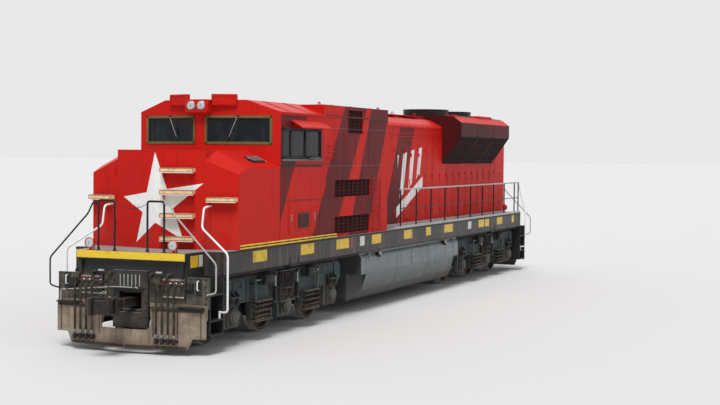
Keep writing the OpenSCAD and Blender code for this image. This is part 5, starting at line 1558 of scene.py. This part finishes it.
def truck_details(centre, body, label):
    gear = Build(truck_paint)

    def lug(x, half, y0, y1, z0, z1, ease=0.008):
        gear.block((x - half, y + side * y0, z0), (x + half, y + side * y1, z1), ease)

    for side in (1, -1):
        y = side * TRUCK_SIDE
        for axle in (-AXLE_PITCH, 0.0, AXLE_PITCH):
            x = centre + axle
            # bearing housing ring, cap and its bolts
            gear.paint(truck_paint).turned([(0.15, 0.06), (0.15, 0.085), (0.12, 0.095), (0.118, 0.118),
                (0.06, 0.128), (0.055, 0.14), (0.01, 0.142)], (x, y, AXLE_Z), (0, side, 0), 36)
            gear.paint(casting)
            for k in range(8):
                t = (k + 0.5) * math.pi / 4
                gear.turned([(0.013, 0.084), (0.013, 0.1)], (x + 0.134 * math.cos(t), y,
                    AXLE_Z + 0.134 * math.sin(t)), (0, side, 0), 6)
            gear.paint(truck_dark)
            for dx in (-1, 1):
                # pedestal liners and the tie bar under each axle box
                gear.block((x + dx * 0.188, y - side * 0.1, AXLE_Z - 0.168), (x + dx * 0.206, y + side * 0.036,
                    AXLE_Z + 0.19), 0.004)
            gear.paint(truck_paint)
            lug(x, 0.26, -0.09, 0.002, AXLE_Z - 0.215, AXLE_Z - 0.176, 0.006)
            gear.paint(casting)
            for dx in (-0.235, 0.235):
                gear.turned([(0.018, -0.012), (0.018, 0.052)], (x + dx, y - side * 0.045,
                    AXLE_Z - 0.225), "z", 6)
            # two springs over each axle box
            for dx in (-0.1, 0.1):
                gear.paint(truck_dark)
                coil(gear, x + dx, y + side * 0.052, AXLE_Z + 0.205, FRAME_LOW + 0.125, 0.062, 0.015, 4.0)
            gear.paint(truck_paint)
            lug(x, 0.2, -0.002, 0.13, FRAME_LOW + 0.123, FRAME_LOW + 0.15)
            for dx in (-0.17, 0.0, 0.17):
                gear.plate([(x + dx - 0.008, y, FRAME_LOW + 0.15), (x + dx - 0.008, y + side * 0.12,
                    FRAME_LOW + 0.15), (x + dx - 0.008, y, FRAME_LOW + 0.27)], (0.016, 0, 0))
        for mid in (-AXLE_PITCH / 2, AXLE_PITCH / 2):
            x = centre + mid
            # nested springs in front of the CAD's spring block, with their cups
            for dx in (-0.24, -0.08, 0.08, 0.24):
                gear.paint(truck_dark)
                coil(gear, x + dx, y + side * 0.082, AXLE_Z - 0.15, FRAME_LOW - 0.012, 0.064, 0.016, 4.5)
            gear.paint(truck_paint)
            for z in (AXLE_Z - 0.18, FRAME_LOW - 0.022):
                lug(x, 0.335, -0.02, 0.155, z, z + 0.026)
            # brake cylinder: rings on the CAD block, a push rod and a hanger
            outward = 1 if mid > 0 else -1
            cx, cylinder_z, hanger_y = centre + outward * 0.98, 1.165, y + side * 0.08
            gear.paint(black_trim).turned([(0.098, -0.19), (0.105, -0.17), (0.105, 0.17), (0.098, 0.19)],
                (cx, y + side * 0.1, cylinder_z), "x", 28)
            gear.paint(casting).turned([(0.116, -0.02), (0.116, 0.02)],
                (cx, y + side * 0.1, cylinder_z), "x", 28)
            gear.paint(bare_steel).pipe([(cx + outward * 0.18, y + side * 0.1, cylinder_z),
                (cx + outward * 0.44, y + side * 0.1, cylinder_z)], 0.018, 12)
            gear.paint(truck_paint).plate([(cx + outward * 0.4, hanger_y, 1.2), (cx + outward * 0.5, hanger_y,
                1.2), (cx + outward * 0.5, hanger_y, 0.98), (cx + outward * 0.45, hanger_y, 0.78),
                    (cx + outward * 0.38, hanger_y, 0.78)], (0, side * 0.024, 0))
            gear.pipe([(cx + outward * 0.45, y, 1.1), (cx + outward * 0.45, y + side * 0.12, 1.1)], 0.02, 10)
        # ribbed rubber block of the middle suspension, and a damper on each side of it
        gear.paint(truck_dark)
        for i in range(9):
            x = centre - 0.27 + i * 0.0675
            lug(x, 0.012, 0.068, 0.088, FRAME_LOW - 0.1, 1.24, 0.005)
        gear.paint(truck_paint)
        for z in (FRAME_LOW - 0.135, 1.245):
            lug(centre, 0.33, -0.002, 0.105, z, z + 0.032)
        for dx in (-0.5, 0.5):
            x = centre + dx
            gear.paint(black_trim).pipe([(x, y + side * 0.055, 0.7), (x, y + side * 0.055, 0.98)], 0.04, 20)
            gear.paint(bare_steel).pipe([(x, y + side * 0.055, 0.96), (x, y + side * 0.055, 1.2)], 0.024, 16)
            gear.paint(truck_paint)
            for z in (0.655, 1.185):
                lug(x, 0.035, -0.002, 0.09, z, z + 0.05)
        # ribs and ports cast into the side frame
        for dx in (-2.45, -1.62, -0.62, 0.62, 1.62, 2.45):
            x = centre + dx
            gear.paint(truck_paint)
            lug(x, 0.018, -0.001, 0.022, FRAME_LOW + 0.03, 1.235, 0.006)
        for dx in (-2.0, 2.0):
            gear.paint(black_paint)
            lug(centre + dx, 0.15, -0.001, 0.004, 1.05, 1.17, 0.004)
            gear.paint(truck_paint)
            frame_strip(gear, centre + dx - 0.18, centre + dx + 0.18, 1.03, 1.19, TRUCK_SIDE - 0.001, 0.016,
                        side, 0.026)
        lug(centre, 2.62, -0.001, 0.026, 1.222, 1.246)
        lug(centre, 2.62, -0.001, 0.026, FRAME_LOW + 0.002, FRAME_LOW + 0.028)
        # sand pipes down to the outer wheels, and brake shoes on every wheel
        for end in (-1, 1):
            x = centre + end * (AXLE_PITCH + 0.52)
            gear.paint(casting).pipe([(x - end * 0.06, side * 1.1, 1.16), (x, side * 1.00, 0.8),
                (x + end * 0.02, side * 0.78, 0.3), (x - end * 0.12, side * 0.75, 0.14)], 0.017, 10, 0.1)
        for axle in (-AXLE_PITCH, 0.0, AXLE_PITCH):
            for face in (-1, 1):
                if abs(axle + face * 0.6) > AXLE_PITCH + 0.55 and abs(axle) > 0.1:
                    continue
                x = centre + axle
                pad = [(x + face * (WHEEL_R + gap) * math.cos(t), side * 0.71,
                        AXLE_Z + (WHEEL_R + gap) * math.sin(t)) for gap, turn in ((0.03, 1), (0.085, -1))
                       for t in np.linspace(-0.3 * turn, 0.3 * turn, 7)]
                gear.paint(casting).plate(pad, (0, side * 0.09, 0))
                gear.pipe([(x + face * (WHEEL_R + 0.07), side * 0.755, AXLE_Z + 0.1),
                           (x + face * (WHEEL_R + 0.05), side * 0.755, 1.16)], 0.02, 10)
        # brake pipe along the frame
        run = [(-2.3, 0.045, 1.275), (-0.8, 0.045, 1.275), (-0.5, 0.06, 1.262),
               (0.5, 0.06, 1.262), (0.8, 0.045, 1.275), (2.3, 0.045, 1.275)]
        gear.paint(rubber).pipe([(centre + dx, y + side * dy, z) for dx, dy, z in run], 0.013, 10, 0.06)
    gear.outward().done(f"{label}_truck_details", "truck_paint", body)


truck_dark = truck_finish("truck_springs", (0.014, 0.016, 0.017), (0.035, 0.036, 0.035))
for name in ("front_truck_gear", "rear_truck_gear"):
    dress(name, truck_finish(f"{name}_paint", (0.03, 0.04, 0.042), (0.06, 0.072, 0.072)))
truck_details(TRUCK_X, "front_truck", "front")
truck_details(-TRUCK_X, "rear_truck", "rear")

# %% [markdown]
# ## Couplers
# A coupler head is a casting with lugs, a lock pin and ribs. Those parts ride on the coupler, and the
# pin's head rides with the knuckle that turns about it.

# %% Coupler fittings
for end, label in ((1, "front"), (-1, "rear")):
    fit = Build(casting)
    turn = Matrix.Rotation(0 if end > 0 else math.pi, 4, "Z")
    for z in (0.835, 0.973):
        fit.box((10.02, -0.07, z - 0.014), (10.9, 0.07, z + 0.014), 0.006, turn)
    fit.box((10.98, -0.236, 0.8), (11.05, -0.226, 1.008), 0.004, turn)
    fit.turned([(0.03, 1.054), (0.03, 1.074), (0.018, 1.08), (0.018, 1.11)],
               turn @ Vector((11.02, -0.1, 0)), "z", 20)
    fit.paint(rail_grey).pipe(laid(turn, (11.02, -0.1, 1.105), (10.98, -0.1, 1.135), (10.98, -0.02, 1.15),
        (11.03, 0.02, 1.12), (11.02, -0.06, 1.106)), 0.008, 8, 0.02)
    fit.paint(casting)
    for x in (10.55, 10.75):
        fit.box((x - 0.01, -0.078, 0.822), (x + 0.01, 0.078, 0.986), 0.004, turn)
    fit.done(f"{label}_coupler_fittings", "cast_steel", f"{label}_coupler")
    pin = Build(bare_steel)
    top = at[f"{label}_knuckle"].z1
    place = turn @ Vector((11.09, 0.13, 0))
    pin.turned([(0.033, top), (0.03, top + 0.008), (0.012, top + 0.012)], place, "z", 24)
    pin.done(f"{label}_knuckle_pin_head", "cast_steel", f"{label}_knuckle")
print("trucks and couplers ready")

# %% [markdown]
# # Inside the cab
# Two seats, a desk and screens show through the dark glass and through the open door. A seat cushion is a
# crowned pad whose edges pull in between its corners, with sewn channels across it.
# The pads are small and seen through glass, so their shape is written as moves of a fine grid, which is
# quicker than a cloth simulation and always gives the same pad.

# %% Seats
def pad(name, half, place, channels, crown=0.035):
    """A padded cushion. half is its half size; channels are sewn lines across it, from -1 to 1."""
    mesh = bmesh.new()
    bmesh.ops.create_cube(mesh, size=2.0)
    bmesh.ops.subdivide_edges(mesh, edges=mesh.edges[:], cuts=23, use_grid_fill=True)
    for vert in mesh.verts:
        u, v, w = vert.co
        rim = max(abs(u), abs(v)) ** 8
        x = u * (1.0 - 0.045 * (1.0 - v * v) * u * u)
        y = v * (1.0 - 0.045 * (1.0 - u * u) * v * v)
        corner = 1.0 - 0.1 * (u * v) ** 6
        thick = w * (1.0 - 0.42 * rim)
        if w > 0:
            thick += crown / half[2] * (1.0 - u * u) * (1.0 - v * v) * w
            for line in channels:
                thick -= 0.16 * math.exp(-((u - line) / 0.035) ** 2) * (1.0 - v ** 8) * w
        vert.co = (x * corner * half[0], y * corner * half[1], thick * half[2])
    bmesh.ops.transform(mesh, matrix=place, verts=mesh.verts[:])
    bmesh.ops.recalc_face_normals(mesh, faces=mesh.faces[:])
    for face in mesh.faces:
        face.smooth = True
    data = bpy.data.meshes.new(name)
    mesh.to_mesh(data)
    mesh.free()
    data.materials.append(vinyl)
    cushion = bpy.data.objects.new(name, data)
    bpy.context.scene.collection.objects.link(cushion)
    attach(cushion, ROOT)
    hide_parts("seats")


SEAT_X, floor = cab.x0 + 0.7, at["seats"].z0
for side, label in SIDES:
    y = side * 0.86
    pad(f"seat_cushion_{label}", (0.255, 0.25, 0.042), Matrix.Translation((SEAT_X + 0.012, y, floor + 0.482)),
        (-0.45, 0.0, 0.45), 0.016)
    lean = Matrix.Translation((SEAT_X - 0.25, y, floor + 0.87)) @ Matrix.Rotation(math.radians(-8), 4, "Y")
    pad(f"seat_back_{label}", (0.300, 0.225, 0.036), lean @ Matrix.Rotation(math.pi / 2, 4, "Y"),
        (-0.35, 0.15, 0.6), 0.012)
    stand = Build(black_trim)
    stand.turned([(0.16, 0.0), (0.16, 0.02), (0.07, 0.035), (0.055, 0.06), (0.055, 0.38), (0.09, 0.4),
                  (0.09, 0.425)], (SEAT_X, y, floor), "z", 28)
    stand.box((SEAT_X - 0.22, y - 0.21, floor + 0.422), (SEAT_X + 0.24, y + 0.21, floor + 0.441), 0.006)
    stand.pipe([(SEAT_X - 0.2, y, floor + 0.43), (SEAT_X - 0.245, y, floor + 0.56),
                (SEAT_X - 0.275, y, floor + 0.9)], 0.02, 12, 0.05)
    for s in (-1, 1):
        stand.paint(black_trim).pipe([(SEAT_X + dx, y + s * 0.235, floor + dz)
            for dx, dz in ((-0.23, 0.62), (-0.2, 0.7), (0.08, 0.7))], 0.014, 10, 0.03)
    stand.done(f"seat_frame_{label}", "black_paint", replaces="seats")

# %% Desk, screens and levers
desk = Build(black_trim)
DESK_X, DESK_TOP = CAB_X - 0.56, at["control_desk"].z1
for y, tilt in ((-1.18, 8), (-0.78, 0), (0.8, 0), (1.18, -8)):
    turn = Matrix.Translation((CAB_X - 0.3, y, DESK_TOP - 0.02)) @ Matrix.Rotation(math.radians(tilt), 4,
        "Z") @ Matrix.Rotation(math.radians(-14), 4, "Y")
    desk.paint(black_trim).box((-0.022, -0.15, 0.0), (0.022, 0.15, 0.215), 0.01, turn)
    desk.paint(glass).box((-0.026, -0.13, 0.022), (-0.0215, 0.13, 0.195), 0.002, turn)
desk.paint(bare_steel)
for y in (-0.62, -0.7, 0.62):
    desk.pipe([(DESK_X + 0.16, y, DESK_TOP - 0.12), (DESK_X + 0.1, y, DESK_TOP + 0.03)], 0.007, 8)
    desk.paint(patch_red if y == -0.62 else black_trim).turned([(0.01, -0.02), (0.02, 0.0), (0.017, 0.022),
        (0.004, 0.03)], (DESK_X + 0.1, y, DESK_TOP + 0.03), (-0.35, 0, 1), 16)
    desk.paint(bare_steel)
for y in (-1.3, -1.00, 1.00):
    for k in range(5):
        desk.turned([(0.01, -0.004), (0.01, 0.012), (0.006, 0.016)], (DESK_X + 0.14, y + k * 0.035,
            DESK_TOP - 0.108), (-0.3, 0, 1), 10)
desk.done("desk_screens_and_levers", "black_paint")

# %% Cab door
door = at["cab_door"]
entry = Build(rubber)
pane_y0, pane_y1, pane_z0, pane_z1 = -1.5 + 0.084, -1.06 - 0.084, door.z1 - 0.7, door.z1 - 0.1
entry.paint(glass).box((cab.x0 + 0.0115, pane_y0, pane_z0), (cab.x0 + 0.0285, pane_y1, pane_z1), 0.0)
entry.paint(rubber)
for low, high in (((pane_y0, pane_z0), (pane_y1, pane_z0 + 0.016)), ((pane_y0, pane_z1 - 0.016),
    (pane_y1, pane_z1)), ((pane_y0, pane_z0), (pane_y0 + 0.016, pane_z1)), ((pane_y1 - 0.016, pane_z0),
        (pane_y1, pane_z1))):
    entry.box((cab.x0 - 0.004, low[0], low[1]), (cab.x0 + 0.034, high[0], high[1]), 0.003)
entry.paint(bare_steel).box((cab.x0 - 0.006, -1.475, door.z0 + 0.8),
    (cab.x0 + 0.001, -1.425, door.z0 + 1.02), 0.003)
entry.paint(grey_trim).box((cab.x0 - 0.003, -1.47, door.z0 + 0.03),
    (cab.x0 + 0.001, -1.09, door.z0 + 0.22), 0.001)
entry.done("cab_door_pane_and_seal", "window", "cab_door")

# %% [markdown]
# # Behind the hood doors and at the rear
# The engine is a plain block in the CAD. Its cylinder covers and the top pipe are what shows when a hood door
# is open. The hood's rear wall has a service door, a grab ladder and louvres.

# %% Engine covers
block = at["engine_block"]
engine = Build(engine_grey)
for side in (1, -1):
    for i in range(8):
        x = block.x0 + 0.3 + i * 0.5
        engine.paint(engine_grey)
        engine.block((x - 0.19, side * block.y1, block.z0 + 0.35), (x + 0.19, side * (block.y1 + 0.03),
            block.z0 + 0.72), 0.012)
        engine.block((x - 0.21, side * block.y1, block.z0 + 1.05), (x + 0.21, side * (block.y1 + 0.045),
            block.z0 + 1.52), 0.02)
        engine.paint(bare_steel)
        for dx in (-0.16, 0.16):
            for z in (0.38, 0.66, 1.1, 1.46):
                out = 0.03 if z < 1 else 0.045
                engine.turned([(0.014, out - 0.002), (0.014, out + 0.012)], (x + dx, side * block.y1,
                    block.z0 + z), (0, side, 0), 6)
    engine.paint(casting).pipe([(block.x0 + 0.05, side * (block.y1 + 0.05), block.z0 + 0.88),
        (block.x1 - 0.05, side * (block.y1 + 0.05), block.z0 + 0.88)], 0.035, 16)
engine.done("engine_covers", "engine_paint")

# %% Rear wall of the hood
rear = Build(red_trim)
BACK = Matrix.Translation((hood.x0, 0, 0)) @ Matrix.Rotation(-math.pi / 2, 4, "Z")
rear.box((-0.34, -0.006, DECK + 0.1), (0.34, 0.001, DECK + 1.95), 0.003, BACK)
for z in (DECK + 0.35, DECK + 1.05, DECK + 1.7):
    rear.box((0.345, -0.02, z), (0.39, 0.001, z + 0.11), 0.003, BACK)
    rear.pipe(laid(BACK, (0.35, -0.02, z - 0.006), (0.35, -0.02, z + 0.116)), 0.009, 10)
for i in range(8):
    z = DECK + 1.3 + i * 0.055
    rear.plate(laid(BACK, (-0.22, -0.006, z), (-0.22, -0.006, z + 0.035), (-0.22, -0.022, z + 0.005)),
               BACK.to_3x3() @ Vector((0.44, 0, 0)))
rear.paint(bare_steel).box((-0.31, -0.014, DECK + 0.98), (-0.26, -0.004, DECK + 1.12), 0.003, BACK)
rear.pipe(laid(BACK, (-0.285, -0.012, DECK + 1.03), (-0.285, -0.05, DECK + 1.03), (-0.17, -0.05, DECK + 1.03)),
          0.008, 8, 0.015)
rear.paint(black_trim)
for i in range(6):
    z = DECK + 0.3 + i * 0.36
    rear.pipe(laid(BACK, (0.62, 0.002, z), (0.62, -0.052, z), (0.92, -0.052, z), (0.92, 0.002, z)),
              0.011, 10, 0.02)
for y in (0.5, -0.5):
    rear.paint(red_trim).box((y - 0.06, -0.045, 3.95), (y + 0.06, 0.001, 4.05), 0.01, BACK)
    rear.paint(patch_red).turned([(0.036, 0.044), (0.03, 0.058), (0.012, 0.064)], BACK @ Vector((y, 0, 4.0)),
        (-1, 0, 0), 20)
rear.outward().done("hood_rear_door_and_ladder", "red_paint")

# %% Plow ribs and cab roof seams
PLOW_CREASE, PLOW_RAKE = END_X + 0.27, math.atan(0.21 / SIDE)
for end, label in ((1, "front"), (-1, "rear")):
    turn = Matrix.Rotation(0 if end > 0 else math.pi, 4, "Z")
    edge = Build(casting)
    for side in (1, -1):
        face = turn @ face_matrix(PLOW_CREASE, PLOW_RAKE, side)
        edge.paint(plow_dark).box((0.53, -0.012, 0.775), (1.53, 0.001, 0.826), 0.004, face)
        edge.box((0.03, -0.01, 0.125), (1.18, 0.001, 0.165), 0.004, face)
        for x in (0.56, 1.02, 1.46):
            edge.box((x - 0.008, -0.008, 0.33), (x + 0.008, 0.001, 0.775), 0.002, face)
        edge.paint(casting)
        for i in range(9):
            centre = face @ Vector((0.6 + i * 0.11, 0, 0.8))
            edge.turned([(0.014, 0.01), (0.014, 0.022)], centre, face.to_3x3() @ Vector((0, -1, 0)), 6)
    edge.outward().done(f"{label}_plow_edges", "plow_paint")

roof = Build(red_trim)
for x in (5.95, 6.85):
    for side in (1, -1):
        roof.plate([(x, side * 0.93, ROOF_Z - 0.004), (x, side * 1.545, EAVE_Z + 0.004),
                    (x, side * 1.545, EAVE_Z + 0.012), (x, side * 0.93, ROOF_Z + 0.004)], (0.03, 0, 0))
for side in (1, -1):
    side_box(roof, cab.x0 + 0.03, CAB_X - 0.02, SIDE, 0.02, EAVE_Z - 0.045, EAVE_Z - 0.025, side, 0.004)
roof.outward().done("cab_roof_seams_and_gutters", "red_paint")
print("cab, rear and plow details ready")

# %% [markdown]
# ## Floor, lamps and sky
# A pale floor that catches the shadow, three very soft suns and a pale sky. Suns light the floor evenly out
# to the horizon, so floor and sky meet without a line. The sky is shown at its own pale grey to the camera
# and in reflections, and lights the paint at a plain, lower level.

# %% Studio
def make_floor():
    mesh = bpy.data.meshes.new("floor")
    reach = 600.0
    mesh.from_pydata([(-reach, -reach, 0), (reach, -reach, 0), (reach, reach, 0), (-reach, reach, 0)], [],
                     [(0, 1, 2, 3)])
    floor = bpy.data.objects.new("floor", mesh)
    bpy.context.scene.collection.objects.link(floor)
    finish = Finish("floor_matte")
    mesh.materials.append(finish.done((0.7, 0.7, 0.705), 0.9))


def soft_sun(name, towards, strength, spread, colour=(1.0, 1.0, 1.0)):
    """Even light from one side, as from a very large soft box far away."""
    data = bpy.data.lights.new(name, "SUN")
    data.energy, data.angle, data.color = strength, math.radians(spread), colour
    lamp = bpy.data.objects.new(name, data)
    bpy.context.scene.collection.objects.link(lamp)
    lamp.matrix_world = Vector(towards).to_track_quat("-Z", "Y").to_matrix().to_4x4()


def make_sky():
    world = bpy.data.worlds.new("sky")
    bpy.context.scene.world = world
    world.use_nodes = True
    nodes, links = world.node_tree.nodes, world.node_tree.links
    nodes.clear()
    light, seen = nodes.new("ShaderNodeBackground"), nodes.new("ShaderNodeBackground")
    light.inputs["Color"].default_value = (0.94, 0.97, 1.0, 1.0)
    light.inputs["Strength"].default_value = 0.36
    seen.inputs["Color"].default_value = (0.812, 0.812, 0.815, 1.0)
    seen.inputs["Strength"].default_value = 1.0
    path, mix, out = (nodes.new("ShaderNode" + kind) for kind in ("LightPath", "MixShader", "OutputWorld"))
    shown = path.outputs["Is Camera Ray"]
    for ray in ("Is Glossy Ray", "Is Transmission Ray"):
        either = nodes.new("ShaderNodeMath")
        either.operation = "MAXIMUM"
        links.new(shown, either.inputs[0])
        links.new(path.outputs[ray], either.inputs[1])
        shown = either.outputs[0]
    links.new(shown, mix.inputs[0])
    links.new(light.outputs[0], mix.inputs[1])
    links.new(seen.outputs[0], mix.inputs[2])
    links.new(mix.outputs[0], out.inputs[0])


make_floor()
make_sky()
soft_sun("key", (-0.5, -0.16, -0.85), 2.6, 24, (1.0, 0.985, 0.96))
soft_sun("side_fill", (-0.1, -0.86, -0.5), 0.35, 60)
soft_sun("back_fill", (0.75, 0.45, -0.48), 0.45, 60)
bpy.context.scene.view_settings.view_transform = "Standard"
print("studio ready")

for pattern in (bolts, latch, hinge):
    bpy.data.objects.remove(pattern)
